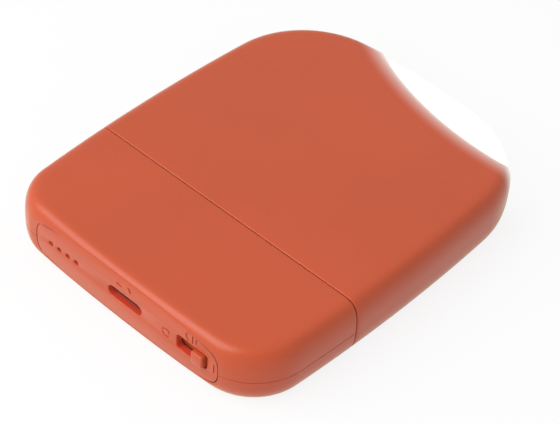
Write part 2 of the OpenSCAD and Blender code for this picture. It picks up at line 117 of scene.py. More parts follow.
class BankSizes(bpy.types.PropertyGroup):
    """Sizes of the power bank's outside, its seams and its small parts"""

    width: length("Width", "Across the waist", SLEEVE_HIGH.x - SLEEVE_LOW.x)
    long: length("Length", "Bowed port end to bowed lamp end", 0.0905)
    thick: length("Thickness", "Resting face to top face", SLEEVE_HIGH.z - SLEEVE_LOW.z)
    waist: length("Waist height", "Height of the widest line", 0.0069)
    wall: length("Wall", "Wall of the shells and the sleeve", 0.0016)
    side_r: length("Side radius", "Bow of the long sides", 0.43)
    near_r: length("Port end radius", "Bow of the port end", 0.4)
    far_r: length("Lamp end radius", "Bow of the lamp end", 0.125)
    near_corner: length("Port end corner", "Corner radius at the port end, on the switch's side", 0.0133)
    left_corner: length("Indicator corner", "Corner radius at the port end, on the indicators' side", 0.0104)
    far_corner: length("Lamp end corner", "Corner radius at the lamp end", 0.022)
    top_reach: length("Top edge", "Reach of the rounded edge at the top", 0.0038)
    low_reach: length("Bottom edge", "Reach of the rounded edge at the bottom", 0.005)
    top_power: FloatProperty(name="Top edge power", default=2.9, min=2, max=5,
                             description="Fullness of the rounded edge at the top")
    low_power: FloatProperty(name="Bottom edge power", default=2.8, min=2, max=5,
                             description="Fullness of the rounded edge at the bottom")
    seam_gap: length("Seam", "Width of the cross seam", 0.0002)
    seam_round: length("Seam edge", "Rounding of the edges beside the cross seam", 0.00028)
    parting_height: length("Parting height", "Height of the line between the near shells", 0.0067)
    parting_gap: length("Parting", "Width of the line between the near shells", 0.0001)
    parting_round: length("Parting edge", "Rounding of the edges beside that line", 0.00007)
    panel_rim: length("Panel rim", "Rim of shell left round the panel", 0.00015)
    panel_gap: length("Panel gap", "Groove round the panel", 0.00012)
    relief: length("Pictogram depth", "Depth of the pictograms in the panel", 0.00016)
    port_height: length("Port height", "Height of the port, the switch and the indicators", 0.0075)
    port_wide: length("Port width", "Width of the port's opening", 0.0092)
    port_high: length("Port opening", "Height of the port's opening", 0.0028)
    switch_x: length("Switch place", "Middle of the switch's slot", 0.018)
    slot_wide: length("Slot width", "Width of the switch's slot", 0.008)
    slot_high: length("Slot height", "Height of the switch's slot", 0.0037)
    slot_corner: length("Slot corner", "Corner radius of the switch's slot", 0.0007)
    knob_wide: length("Knob width", "Width of the switch's knob", 0.0029)
    knob_high: length("Knob height", "Height of the switch's knob", 0.003)
    knob_round: length("Knob edge", "Rounding of the knob's edges", 0.00035)
    indicator_x: length("First indicator", "Place of the first indicator", -0.0209)
    indicator_step: length("Indicator spacing", "From one indicator to the next", 0.00243)
    indicator_wide: length("Indicator", "Diameter of an indicator's hole", 0.0012)
    indicators: IntProperty(name="Indicators", description="How many there are", default=4, min=1, max=6)
    notch_x: length("Notch X", "Centre of the notch across", 0.0263)
    notch_y: length("Notch Y", "Centre of the notch lengthways", 0.1133)
    notch_r: length("Notch radius", "Radius of the notch", 0.0783)
    # painted light: how far the lamp glow painted into the sleeve's rim reaches from the notch
    painted_glow_reach: length("Lamplight soak", "How far lamplight soaks into the rim", 0.0058)
    notch_rim: length("Notch rim", "Radius of the rolled rim over the notch", 0.003)
    lens_gap: length("Lens gap", "Free space between the lens and the sleeve", 0.00015)
    lens_inset: length("Lens inset", "How far the lens lies under the body's surface", 0.0005)
    lens_wall: length("Lens wall", "Wall of the lens", 0.0013)
    lamps: IntProperty(name="Lamp LEDs", description="How many there are", default=6, min=1, max=12)


class BankColours(bpy.types.PropertyGroup):
    """Colours of the power bank's finishes and of its stage"""

    case: colour("Case", "Matte moulding of the shells", rgb(189, 75, 36))
    # painted bounced light: a redder colour, with a faint painted glow, down in the panel's openings
    painted_recess_light: colour("Recess", "The same moulding down in its openings", rgb(196, 64, 44))
    # painted light: colour of the lamp glow painted into the sleeve's rim, which is no lamp
    glow: colour("Glow", "Lamplight in the thin rim over the lens", rgb(255, 252, 248))
    lens: colour("Lens", "Milky lens of the lamp", rgb(250, 250, 246))
    tray: colour("Tray", "Moulding of the inner tray", rgb(88, 90, 95))
    board: colour("Board", "Solder mask of the circuit boards", rgb(26, 78, 54))
    steel: colour("Steel", "Screws and the port's shell", rgb(186, 188, 192))
    gold: colour("Gold", "Contacts", rgb(214, 172, 92))
    black: colour("Black", "Black mouldings", rgb(34, 34, 37))
    cell: colour("Cell", "Foil of the cell", rgb(184, 188, 194))
    floor: colour("Floor", "Floor and backdrop", (0.9, 0.9, 0.9))


def sizes():
    """The sizes, as the panel sets them"""
    return bpy.context.scene.power_bank_sizes


def colours():
    """The colours, as the panel sets them"""
    return bpy.context.scene.power_bank_colours


# ---- Node trees ----


class Value:
    """A socket that takes part in arithmetic: each operation adds its Math node"""

    def __init__(self, net, socket):
        self.net = net
        self.socket = socket

    def math(self, operation, *others):
        sockets = dict(enumerate((self, *others)))
        return self.net.add("ShaderNodeMath", {"operation": operation}, sockets)

    def reflected(self, operation, other):
        return self.net.add("ShaderNodeMath", {"operation": operation}, {0: other, 1: self})

    def __add__(self, other):
        return self.math("ADD", other)

    def __sub__(self, other):
        return self.math("SUBTRACT", other)

    def __mul__(self, other):
        return self.math("MULTIPLY", other)

    def __truediv__(self, other):
        return self.math("DIVIDE", other)

    def __pow__(self, other):
        return self.math("POWER", other)

    def __radd__(self, other):
        return self.reflected("ADD", other)

    def __rsub__(self, other):
        return self.reflected("SUBTRACT", other)

    def __rmul__(self, other):
        return self.reflected("MULTIPLY", other)

    def __rtruediv__(self, other):
        return self.reflected("DIVIDE", other)

    def ramp(self, low, high):
        """0 below low, 1 above high, and smooth between them"""
        return self.net.add("ShaderNodeMapRange", {"interpolation_type": "SMOOTHSTEP"},
                            {"Value": self, "From Min": low, "From Max": high})


class Net:
    """A node tree that is written as expressions"""

    def __init__(self, tree):
        self.tree = tree

    def add(self, kind, settings=None, sockets=None, out=0):
        """Adds a node, makes its settings, then gives its sockets their values or links"""
        node = self.tree.nodes.new(kind)
        for name, setting in (settings or {}).items():
            setattr(node, name, setting)
        for key, given in (sockets or {}).items():
            socket = node.inputs[key]
            if isinstance(given, Value):
                self.tree.links.new(given.socket, socket)
            else:
                socket.default_value = (*given, 1) if socket.type == "RGBA" else given
        return Value(self, node.outputs[out]) if len(node.outputs) else None

    def blend(self, share, first, second):
        """One colour turning into another"""
        return self.add("ShaderNodeMix", {"data_type": "RGBA"}, {0: share, 6: first, 7: second}, out=2)

    def choose(self, test, when_false, when_true):
        """One number or the other, by a test"""
        return self.add("GeometryNodeSwitch", {"input_type": "FLOAT"}, {0: test, 1: when_false, 2: when_true})

    def vector(self, operation, *given):
        return self.add("ShaderNodeVectorMath", {"operation": operation}, dict(enumerate(given)))

    def parts(self, vector):
        """The X, the Y and the Z of a vector"""
        split = self.add("ShaderNodeSeparateXYZ", None, {0: vector}).socket.node
        return [Value(self, socket) for socket in split.outputs]

    def place(self):
        """Object coordinates"""
        return self.add("ShaderNodeTexCoord", out=3)

    def noise(self, scale, detail=2.0, where=None):
        return self.add("ShaderNodeTexNoise", {"noise_dimensions": "3D"},
                        {"Vector": where or self.place(), "Scale": scale, "Detail": detail})

    def bump(self, height, depth, strength):
        return self.add("ShaderNodeBump", None, {"Strength": strength, "Distance": depth, "Height": height})


def new_material(name):
    """A material without nodes, and the net that they are written in"""
    material = bpy.data.materials.new(name)
    material.use_nodes = True
    material.node_tree.nodes.clear()
    return material, Net(material.node_tree)


def finish_with(net, shader):
    """Gives a material its surface"""
    net.add("ShaderNodeOutputMaterial", None, {"Surface": shader})


def principled(net, **sockets):
    """A Principled shader: each socket is named with underlines for its spaces"""
    named = {name.replace("_", " "): given for name, given in sockets.items()}
    return net.add("ShaderNodeBsdfPrincipled", None, named)


# ---- Finishes ----


def matte_case(name="case_moulding", face=None):
    """Fine-textured matte moulding with a painted lamp glow in its rim over the lens, and behind a face
    painted bounced light in its openings

    A face is the place along Y of the surface that the openings are cut into.
    """
    material, net = new_material(name)
    size, tint = sizes(), colours()
    where = net.place()
    across, along, height = net.parts(where)
    cloud = net.noise(38.0, 3.0, where)
    grain = net.noise(5200.0, 2.0, where)
    fleck = net.noise(1500.0, 2.0, where)
    dark = tuple(0.955 * c for c in tint.case)
    light = tuple(min(1.0, 1.04 * c) for c in tint.case)
    paint = net.blend((cloud * 0.7 + fleck * 0.3).ramp(0.3, 0.7), dark, light)
    painted_recess_glow = (0.0, 0.0, 0.0)
    if face is not None:
        # painted bounced light: behind the face the colour turns redder and a faint glow is painted, down in
        # the openings
        just_behind, well_behind, recess_glow_share = 0.00005, 0.0004, 0.1
        painted_recess_mask = along.ramp(face + just_behind, face + well_behind)
        paint = net.blend(painted_recess_mask, paint, tint.painted_recess_light)
        painted_recess_glow = net.blend(painted_recess_mask * recess_glow_share, painted_recess_glow, tint.painted_recess_light)
    # painted light: a lamp glow painted into the rim near the notch, fading away from it and towards the
    # bottom
    from_axis = ((across - size.notch_x) ** 2.0 + (along - size.notch_y) ** 2.0) ** 0.5
    painted_glow_nearness = 1.0 - ((from_axis - size.notch_r) / size.painted_glow_reach).math("MAXIMUM", 0.0).math("MINIMUM", 1.0)
    fade, unlit_height, lit_height = 2.0, 0.5 * size.thick, 0.95 * size.thick
    lit = painted_glow_nearness ** fade * height.ramp(unlit_height, lit_height)
    # painted light: where the glow is painted the base turns black and the emission carries the painted glow
    base = net.blend(lit, paint, (0.0, 0.0, 0.0))
    light_colour = net.blend(lit, painted_recess_glow, tint.glow)
    normal = net.bump(grain * 0.7 + fleck * 0.3, 0.00004, 0.35)
    shader = principled(net, Base_Color=base, Roughness=0.31 + grain * 0.1, Normal=normal,
                        Specular_IOR_Level=0.42, Sheen_Weight=0.85, Sheen_Roughness=0.27,
                        Sheen_Tint=(1.0, 0.93, 0.62), Emission_Color=light_colour, Emission_Strength=1.0)
    finish_with(net, shader)
    return material


def grained(name, tint, roughness, spread, scale=2600.0, metal=0.0, change=0.06, depth=0.00003):
    """A moulded, coated or drawn finish: fine grain in its colour, its gloss and its surface"""
    material, net = new_material(name)
    where = net.place()
    grain = net.noise(scale, 3.0, where)
    cloud = net.noise(scale / 24, 2.0, where)
    dark = tuple(max(0.0, (1 - change) * c) for c in tint)
    light = tuple(min(1.0, (1 + change) * c) for c in tint)
    base = net.blend((grain * 0.4 + cloud * 0.6).ramp(0.3, 0.7), dark, light)
    normal = net.bump(grain, depth, 0.3)
    shader = principled(net, Base_Color=base, Roughness=roughness + grain * spread, Normal=normal,
                        Metallic=metal)
    finish_with(net, shader)
    return material


def brushed(name, tint, roughness):
    """Drawn or plated metal with fine lines along its length"""
    material, net = new_material(name)
    stretched = net.add("ShaderNodeMapping", None, {"Vector": net.place(), "Scale": (9000.0, 260.0, 9000.0)})
    lines = net.noise(1.0, 3.0, stretched)
    dark = tuple(0.86 * c for c in tint)
    base = net.blend(lines.ramp(0.3, 0.7), dark, tint)
    normal = net.bump(lines, 0.00001, 0.4)
    shader = principled(net, Base_Color=base, Roughness=roughness + lines * 0.15, Normal=normal, Metallic=1.0)
    finish_with(net, shader)
    return material


def milky_lens():
    """Milky plastic, lit evenly from inside"""
    material, net = new_material("lamp_lens_glow")
    tint = colours()
    where = net.place()
    haze = net.noise(60.0, 2.0, where)
    dim = tuple(0.93 * c for c in tint.lens)
    base = net.blend(haze.ramp(0.3, 0.7), dim, tint.lens)
    grain = net.noise(4200.0, 2.0, where)
    shader = principled(net, Base_Color=base, Roughness=0.42 + grain * 0.1, Emission_Color=base,
                        Normal=net.bump(grain, 0.00002, 0.25), Emission_Strength=1.1)
    finish_with(net, shader)
    return material


def circuit_board():
    """Solder mask with a faint pattern of tracks"""
    material, net = new_material("board_mask")
    tint = colours()
    where = net.place()
    tracks = net.add("ShaderNodeTexBrick", None,
                     {"Vector": where, "Scale": 420.0, "Mortar Size": 0.03,
                      "Color1": (0.0, 0.0, 0.0), "Color2": (0.0, 0.0, 0.0), "Mortar": (1.0, 1.0, 1.0)}, out=1)
    grain = net.noise(900.0, 3.0, where)
    raised = tuple(min(1.0, 1.7 * c) for c in tint.board)
    base = net.blend(tracks * 0.6 + grain * 0.2, tint.board, raised)
    shader = principled(net, Base_Color=base, Roughness=0.3 + grain * 0.15,
                        Normal=net.bump(tracks, 0.00003, 0.5))
    finish_with(net, shader)
    return material


def make_finishes():
    """One finish for each material slot of the frame's record"""
    tint = colours()
    return {
        "orange_case": matte_case(),
        "panel_case": matte_case("panel_moulding", PANEL_LOW.y),
        "grey_moulding": grained("tray_moulding", tint.tray, 0.55, 0.15),
        "black_moulding": grained("black_moulding", tint.black, 0.4, 0.2, change=0.12),
        "white_moulding": grained("white_moulding", rgb(236, 236, 232), 0.5, 0.15, change=0.03),
        "screw_steel": brushed("screw_steel", tint.steel, 0.25),
        "port_steel": brushed("port_steel", tint.steel, 0.2),
        "contact_gold": brushed("contact_gold", tint.gold, 0.18),
        "circuit_board": circuit_board(),
        "indicator_lens": grained("indicator_lens", rgb(232, 214, 204), 0.35, 0.1, change=0.03),
        "led_package": grained("led_package", rgb(238, 226, 168), 0.35, 0.1, change=0.05),
        "capacitor_body": grained("capacitor_body", rgb(158, 128, 96), 0.45, 0.15),
        "cell_foil": grained("cell_foil", tint.cell, 0.3, 0.2, scale=700.0, metal=0.9, change=0.08,
                             depth=0.0001),
        "foam_pad": grained("foam_pad", rgb(48, 48, 50), 0.8, 0.15, scale=1800.0, change=0.3,
                            depth=0.0002),
        "wire_sleeving": grained("wire_sleeving", rgb(150, 34, 30), 0.4, 0.1),
        "lamp_lens": milky_lens(),
        "ribbon_film": grained("ribbon_film", rgb(206, 138, 62), 0.3, 0.15, scale=1200.0),
    }


FINISHES = {}


def dress(piece, finish):
    """Gives a piece one finish"""
    if not FINISHES:
        FINISHES.update(make_finishes())
    piece.data.materials.clear()
    piece.data.materials.append(FINISHES[finish])


def hand_over(mesh, name, slot, body, *nodes, finish=None, crease=34.0):
    """Makes a mesh into a finished piece that rides on a body and stands for its frame nodes"""
    mesh.name = name
    for face in mesh.polygons:
        face.use_smooth = True
    mesh.set_sharp_from_angle(angle=math.radians(crease))
    piece = bpy.data.objects.new(name, mesh)
    bpy.context.scene.collection.objects.link(piece)
    dress(piece, finish or slot)
    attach(piece, body)
    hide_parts(*nodes)


# ---- Mesh helpers ----


def mesh_of(bm, name="part"):
    """Turns a bmesh into a mesh and frees it"""
    mesh = bpy.data.meshes.new(name)
    bm.to_mesh(mesh)
    bm.free()
    return mesh


def scaffold(mesh):
    """A passing object that modifiers work on"""
    thing = bpy.data.objects.new("scaffold", mesh)
    bpy.context.scene.collection.objects.link(thing)
    return thing


def evaluated(thing):
    """The plain mesh of an object with its modifiers, which takes the object's place"""
    graph = bpy.context.evaluated_depsgraph_get()
    mesh = bpy.data.meshes.new_from_object(thing.evaluated_get(graph), depsgraph=graph)
    thing.modifiers.clear()
    bpy.data.objects.remove(thing)
    return mesh


def combine(first, second, operation):
    """The exact union, difference or intersection of two closed meshes"""
    thing, tool = scaffold(first), scaffold(second)
    cut = thing.modifiers.new("cut", "BOOLEAN")
    cut.operation = operation
    cut.solver = "EXACT"
    cut.object = tool
    result = evaluated(thing)
    bpy.data.objects.remove(tool)
    return result


def grow(tree, seed, values):
    """The plain mesh that a geometry tree makes from a seed mesh"""
    thing = scaffold(seed)
    modifier = thing.modifiers.new("grow", "NODES")
    modifier.node_group = tree
    for item in tree.interface.items_tree:
        if item.item_type == "SOCKET" and item.in_out == "INPUT" and item.name in values:
            modifier[item.identifier] = values[item.name]
    return evaluated(thing)


def close_up(mesh):
    """Joins the points a cut has left lying together, and closes any slit between them"""
    together = 1e-6
    bm = bmesh.new()
    bm.from_mesh(mesh)
    bmesh.ops.remove_doubles(bm, verts=bm.verts, dist=together)
    bmesh.ops.dissolve_degenerate(bm, dist=together / 2, edges=bm.edges)
    bmesh.ops.holes_fill(bm, edges=[edge for edge in bm.edges if edge.is_boundary])
    bmesh.ops.delete(bm, geom=[edge for edge in bm.edges if edge.is_wire], context="EDGES")
    return mesh_of(bm)


def keep_side(mesh, point, normal):
    """Cuts a closed mesh by a plane, keeps the side that the normal points to, and closes it"""
    bm = bmesh.new()
    bm.from_mesh(mesh)
    cut = bmesh.ops.bisect_plane(bm, geom=bm.verts[:] + bm.edges[:] + bm.faces[:], dist=1e-7,
                                 plane_co=point, plane_no=normal, clear_inner=True)
    edges = [e for e in cut["geom_cut"] if isinstance(e, bmesh.types.BMEdge)]
    bmesh.ops.contextual_create(bm, geom=edges)
    bmesh.ops.recalc_face_normals(bm, faces=bm.faces[:])
    bm.to_mesh(mesh)
    bm.free()


def bridge(bm, loops):
    """Walls from each loop of points to the next"""
    n = len(loops[0])
    for one, two in zip(loops, loops[1:]):
        for k in range(n):
            bm.faces.new((one[k], one[(k + 1) % n], two[(k + 1) % n], two[k]))


def solid_of_loops(bm, loops):
    """The closed mesh of the walls between loops, with its first and last loops filled"""
    bridge(bm, loops)
    bm.faces.new(loops[0])
    bm.faces.new(loops[-1][::-1])
    bmesh.ops.recalc_face_normals(bm, faces=bm.faces[:])
    return mesh_of(bm)


def lathe_sector(profile, centre, low, high, steps):
    """A closed wedge: a profile of [radius, height] swept about an upright axis between two angles"""
    bm = bmesh.new()
    rings = []
    for i in range(steps + 1):
        a = math.radians(low + (high - low) * i / steps)
        rings.append([bm.verts.new((centre[0] + r * math.cos(a), centre[1] + r * math.sin(a), z))
                      for r, z in profile])
    return solid_of_loops(bm, rings)


def soften(mesh, offset, pick, segments=3):
    """Rounds the edges of a mesh that pick accepts"""
    bm = bmesh.new()
    bm.from_mesh(mesh)
    bm.normal_update()
    edges = [e for e in bm.edges if pick(e)]
    bmesh.ops.bevel(bm, geom=edges, offset=offset, offset_type="OFFSET", segments=segments,
                    profile=0.5, affect="EDGES", clamp_overlap=True)
    bm.to_mesh(mesh)
    bm.free()
    return mesh


def block(low, high):
    """A plain block between two corners"""
    bm = bmesh.new()
    low, high = Vector(low), Vector(high)
    bmesh.ops.create_cube(bm, size=1.0)
    bmesh.ops.scale(bm, vec=high - low, verts=bm.verts)
    bmesh.ops.translate(bm, vec=(low + high) / 2, verts=bm.verts)
    return mesh_of(bm)


def rounded_block(low, high, offset, segments=3):
    """A block with all its edges rounded"""
    return soften(block(low, high), offset, lambda edge: True, segments)


# ---- Outline of the body, worked out in millimetres ----


class Outline:
    """The body's outline seen from above: bowed sides and ends joined by corner arcs"""

    def __init__(self, even=False):
        s = sizes()
        self.half_w = s.width / 2 / MM
        self.half_l = s.long / 2 / MM
        self.side_r = s.side_r / MM
        left_corner = s.near_corner if even else s.left_corner
        self.ends = {(sx, 1): (s.far_r / MM, s.far_corner / MM) for sx in (1, -1)}
        self.ends[1, -1] = (s.near_r / MM, s.near_corner / MM)
        self.ends[-1, -1] = (s.near_r / MM, left_corner / MM)
        self.thick, self.waist = s.thick / MM, s.waist / MM
        self.reach = {1: s.top_reach / MM, -1: s.low_reach / MM}
        self.power = {1: s.top_power, -1: s.low_power}

    def corner(self, end):
        """Centre of the corner arc that touches the side arc and the end arc"""
        end_r, corner_r = self.ends[end]
        sx, ey = self.half_w - self.side_r, self.half_l - end_r
        p, q = self.side_r - corner_r, end_r - corner_r
        d = math.hypot(sx, ey)
        k = (p * p - q * q + d * d) / (2 * d)
        h = math.sqrt(p * p - k * k)
        return sx - k * sx / d - h * ey / d, k * ey / d - h * sx / d

    def quarter(self, end, steps):
        """[centre x, centre y, radius, angle] from the side's middle to the end's middle"""
        end_r, corner_r = self.ends[end]
        cx, cy = self.corner(end)
        sx, ey = self.half_w - self.side_r, self.half_l - end_r
        a1 = math.atan2(cy, cx - sx)
        a2 = math.atan2(cy - ey, cx)
        rows = []
        for c, r, low, high, n in (((sx, 0), self.side_r, 0, a1, steps[0]),
                                   ((cx, cy), corner_r, a1, a2, steps[1]),
                                   ((0, ey), end_r, a2, math.pi / 2, steps[2])):
            rows += [(c[0], c[1], r, low + (high - low) * i / n) for i in range(n)]
        return rows + [(0, ey, end_r, math.pi / 2)]

    def loop(self, steps):
        """Points and outward directions all round, anticlockwise from the right side's middle"""
        def to_points(rows, fx, fy):
            return [(fx * (x + r * math.cos(a)), fy * (y + r * math.sin(a)),
                     fx * math.cos(a), fy * math.sin(a)) for x, y, r, a in rows]
        far = self.quarter((1, 1), steps)
        left, right = self.quarter((-1, -1), steps), self.quarter((1, -1), steps)
        return (to_points(far, 1, 1) + to_points(far[-2:0:-1], -1, 1)
                + to_points(left, -1, -1) + to_points(right[-2:0:-1], 1, -1))

    def inset(self, x, y):
        """How far each point lies in from the outline"""
        result = np.empty(np.broadcast(x, y).shape)
        x, y = np.broadcast_to(x, result.shape), np.broadcast_to(y, result.shape)
        for end, (end_r, corner_r) in self.ends.items():
            half = (end[0] * x >= 0) & (end[1] * y >= 0)
            px, py = np.abs(x[half]), np.abs(y[half])
            cx, cy = self.corner(end)
            sx, ey = self.half_w - self.side_r, self.half_l - end_r
            angle = np.arctan2(py - cy, px - cx)
            a1 = math.atan2(cy, cx - sx)
            a2 = math.atan2(cy - ey, cx)
            plain = np.minimum(self.side_r - np.hypot(px - sx, py), end_r - np.hypot(px, py - ey))
            in_corner = (angle > a1) & (angle < a2)
            result[half] = np.where(in_corner, corner_r - np.hypot(px - cx, py - cy), plain)
        return result

    def within(self, x, y, z, drawn_in):
        """True inside the body's form drawn in all round"""
        depth = self.inset(x, y) - drawn_in
        above = z >= self.waist
        span = np.where(above, self.thick - drawn_in - self.waist, self.waist - drawn_in)
        rise = np.abs(z - self.waist) / span
        reach = np.where(above, self.reach[1], self.reach[-1])
        power = np.where(above, self.power[1], self.power[-1])
        left = np.clip(1 - depth / reach, 0, None)
        return (depth > 0) & (left ** power + rise ** power < 1)

    def section(self, y, drawn_in, directions, middle):
        """Where rays from the middle of a cross section meet the form, as rows of x and z"""
        surely_outside, halvings = 1.4, 44
        low = np.zeros(np.broadcast(y, directions).shape)
        high = np.full(low.shape, surely_outside)
        ux, uz = self.half_w * np.cos(directions), self.waist * np.sin(directions)
        for _ in range(halvings):
            half = (low + high) / 2
            inside = self.within(half * ux, y + 0 * half, middle + half * uz, drawn_in)
            low, high = np.where(inside, half, low), np.where(inside, high, half)
        return low * ux, middle + low * uz


# ---- Geometry trees ----


def new_tree(name, inputs):
    """A geometry tree with named inputs: returns it, its net and its inputs as values"""
    tree = bpy.data.node_groups.new(name, "GeometryNodeTree")
    tree.interface.new_socket("Geometry", in_out="INPUT", socket_type="NodeSocketGeometry")
    for title, kind in inputs.items():
        tree.interface.new_socket(title, in_out="INPUT", socket_type="NodeSocket" + kind)
    tree.interface.new_socket("Geometry", in_out="OUTPUT", socket_type="NodeSocketGeometry")
    net = Net(tree)
    entry = tree.nodes.new("NodeGroupInput")
    given = {socket.name: Value(net, socket) for socket in entry.outputs if socket.name}
    return tree, net, given


def end_tree(net, geometry, material):
    """Every tree ends in real geometry with its material set"""
    real = net.add("GeometryNodeRealizeInstances", None, {0: geometry})
    dressed = net.add("GeometryNodeSetMaterial", None, {"Geometry": real, "Material": material})
    net.add("NodeGroupOutput", None, {0: dressed})


def rounded_body_tree():
    """Sweeps the rounded edge, a power curve, round the outline that it is given"""
    tree, net, given = new_tree("rounded_body", {
        "Drawn in": "Float", "Thickness": "Float", "Waist": "Float", "Top reach": "Float",
        "Bottom reach": "Float", "Top power": "Float", "Bottom power": "Float", "Rows": "Int",
        "Material": "Material"})
    outline = given["Geometry"]
    count = net.add("GeometryNodeAttributeDomainSize", {"component": "MESH"}, {0: outline})
    rows = given["Rows"]
    total = rows * 2.0 + 1.0
    sheet = net.add("GeometryNodeMeshGrid", None,
                    {"Size X": 1.0, "Size Y": 1.0, "Vertices X": count + 1.0, "Vertices Y": total})
    index = net.add("GeometryNodeInputIndex")
    station = ((index + 0.25) / total).math("FLOOR")
    level = index - station * total
    station = station.math("MODULO", count)
    signed = level / rows - 1.0
    share = signed.math("ABSOLUTE")
    top = signed.math("GREATER_THAN", 0.0)
    power = net.choose(top, given["Bottom power"], given["Top power"])
    reach = net.choose(top, given["Bottom reach"], given["Top reach"])
    left = 1.0 - share
    scale = 1.0 / ((left ** power + share ** power) ** (1.0 / power))
    drawn = given["Drawn in"] + reach * (1.0 - left * scale)
    upper = given["Thickness"] - given["Drawn in"] - given["Waist"]
    lower = (given["Waist"] - given["Drawn in"]) * -1.0
    height = given["Waist"] + share * scale * net.choose(top, lower, upper)

    def sampled(vector):
        return net.add("GeometryNodeSampleIndex", {"data_type": "FLOAT_VECTOR", "domain": "POINT"},
                       {"Geometry": outline, "Value": vector, "Index": station})

    start = sampled(net.add("GeometryNodeInputPosition"))
    outward = sampled(net.add("GeometryNodeInputNamedAttribute", {"data_type": "FLOAT_VECTOR"},
                              {"Name": "outward"}))
    inward = net.add("ShaderNodeVectorMath", {"operation": "SCALE"}, {0: outward, "Scale": drawn * -1.0})
    lift = net.add("ShaderNodeCombineXYZ", None, {"Z": height})
    place = net.vector("ADD", net.vector("ADD", start, inward), lift)
    shaped = net.add("GeometryNodeSetPosition", None, {"Geometry": sheet, "Position": place})
    closed = net.add("GeometryNodeMergeByDistance", None, {"Geometry": shaped, "Distance": 1e-6})
    end_tree(net, closed, given["Material"])
    return tree


def even_rows_tree():
    """Repeats a piece in even rows"""
    tree, net, given = new_tree("even_rows", {
        "Count": "Int", "Step": "Vector", "Rows": "Int", "Row step": "Vector", "Material": "Material"})
    first = net.add("GeometryNodeMeshLine", {"mode": "OFFSET"},
                    {"Count": given["Count"], "Offset": given["Step"]})
    across = net.add("GeometryNodeMeshLine", {"mode": "OFFSET"},
                     {"Count": given["Rows"], "Offset": given["Row step"]})
    points = net.add("GeometryNodeInstanceOnPoints", None, {"Points": across, "Instance": first})
    points = net.add("GeometryNodeRealizeInstances", None, {0: points})
    placed = net.add("GeometryNodeInstanceOnPoints", None,
                     {"Points": points, "Instance": given["Geometry"]})
    end_tree(net, placed, given["Material"])
    return tree


def round_an_arc_tree():
    """Repeats a piece about an upright axis"""
    tree, net, given = new_tree("round_an_arc", {
        "Count": "Int", "Centre": "Vector", "First angle": "Float", "Step angle": "Float",
        "Material": "Material"})
    line = net.add("GeometryNodeMeshLine", {"mode": "OFFSET"},
                   {"Count": given["Count"], "Start Location": given["Centre"], "Offset": (0.0, 0.0, 0.0)})
    index = net.add("GeometryNodeInputIndex")
    angle = given["First angle"] + index * given["Step angle"]
    turn = net.add("ShaderNodeCombineXYZ", None, {"Z": angle})
    placed = net.add("GeometryNodeInstanceOnPoints", None,
                     {"Points": line, "Instance": given["Geometry"], "Rotation": turn})
    end_tree(net, placed, given["Material"])
    return tree


TREES = {}


def tree_for(maker):
    """Each tree is built once"""
    if maker.__name__ not in TREES:
        TREES[maker.__name__] = maker()
    return TREES[maker.__name__]


def body_form(drawn_in, steps, rows):
    """The body's whole form as a closed mesh, drawn in all round"""
    s = sizes()
    loop = Outline().loop(steps)
    seed = bpy.data.meshes.new("outline")
    n = len(loop)
    seed.from_pydata([(x * MM, y * MM, 0.0) for x, y, _, _ in loop],
                     [(i, (i + 1) % n) for i in range(n)], [])
    outward = seed.attributes.new("outward", "FLOAT_VECTOR", "POINT")
    outward.data.foreach_set("vector", [c for _, _, ux, uy in loop for c in (ux, uy, 0.0)])
    mesh = grow(tree_for(rounded_body_tree), seed, {
        "Drawn in": drawn_in, "Thickness": s.thick, "Waist": s.waist, "Top reach": s.top_reach,
        "Bottom reach": s.low_reach, "Top power": s.top_power, "Bottom power": s.low_power,
        "Rows": rows, "Material": None})
    bm = bmesh.new()
    bm.from_mesh(mesh)
    rims = [e for e in bm.edges if e.is_boundary]
    bmesh.ops.holes_fill(bm, edges=rims, sides=0)
    bmesh.ops.recalc_face_normals(bm, faces=bm.faces[:])
    bm.to_mesh(mesh)
    bm.free()
    return mesh


# ---- Shells ----


def arc_steps(count):
    """Angles of a quarter turn in even steps, ends included"""
    return [math.pi / 2 * i / count for i in range(count + 1)]


def ring_places(start, stop, lip):
    """Places of a near shell's rings: close together by the facet and the seam, wider between"""
    places, step = [start, start + lip], lip
    while places[-1] + step < stop - lip - step:
        step = min(step * RING_GROWTH, WIDEST_STEP)
        places.append(places[-1] + step)
    return [p for p in places if p < stop - 2.5 * lip] + [stop - 2 * lip, stop - lip, stop]


def shell_rings(facet, seam):
    """Rows of [place along Y, drawn in] for a near shell's rings, rounded at the facet and at the seam"""
    seam_lip = sizes().seam_round / MM
    rings = [(facet + FACET_LIP * (1 - math.sin(a)), FACET_LIP * (1 - math.cos(a)))
             for a in reversed(arc_steps(LIP_STEPS))]
    rings += [(y, 0.0) for y in ring_places(facet + FACET_LIP, seam - seam_lip, RING_STEP)[1:-1]]
    rings += [(seam - seam_lip * (1 - math.sin(a)), seam_lip * (1 - math.cos(a)))
              for a in arc_steps(SEAM_STEPS)]
    return np.array(rings)


def facet_hole(facet, turn, side, middle):
    """The shell's opening for the panel: the facet's outline, drawn in by the rim"""
    rim = sizes().panel_rim / MM
    x, z = Outline(even=True).section(np.array([[facet]]), 0.0, turn[None, :], middle)
    x, z = x[0], z[0]
    tx, tz = np.gradient(x), np.gradient(z)
    span = np.hypot(tx, tz)
    hole_x, hole_z = x - side * rim * tz / span, z + side * rim * tx / span
    hole_z[0] = hole_z[-1] = middle
    return hole_x, hole_z


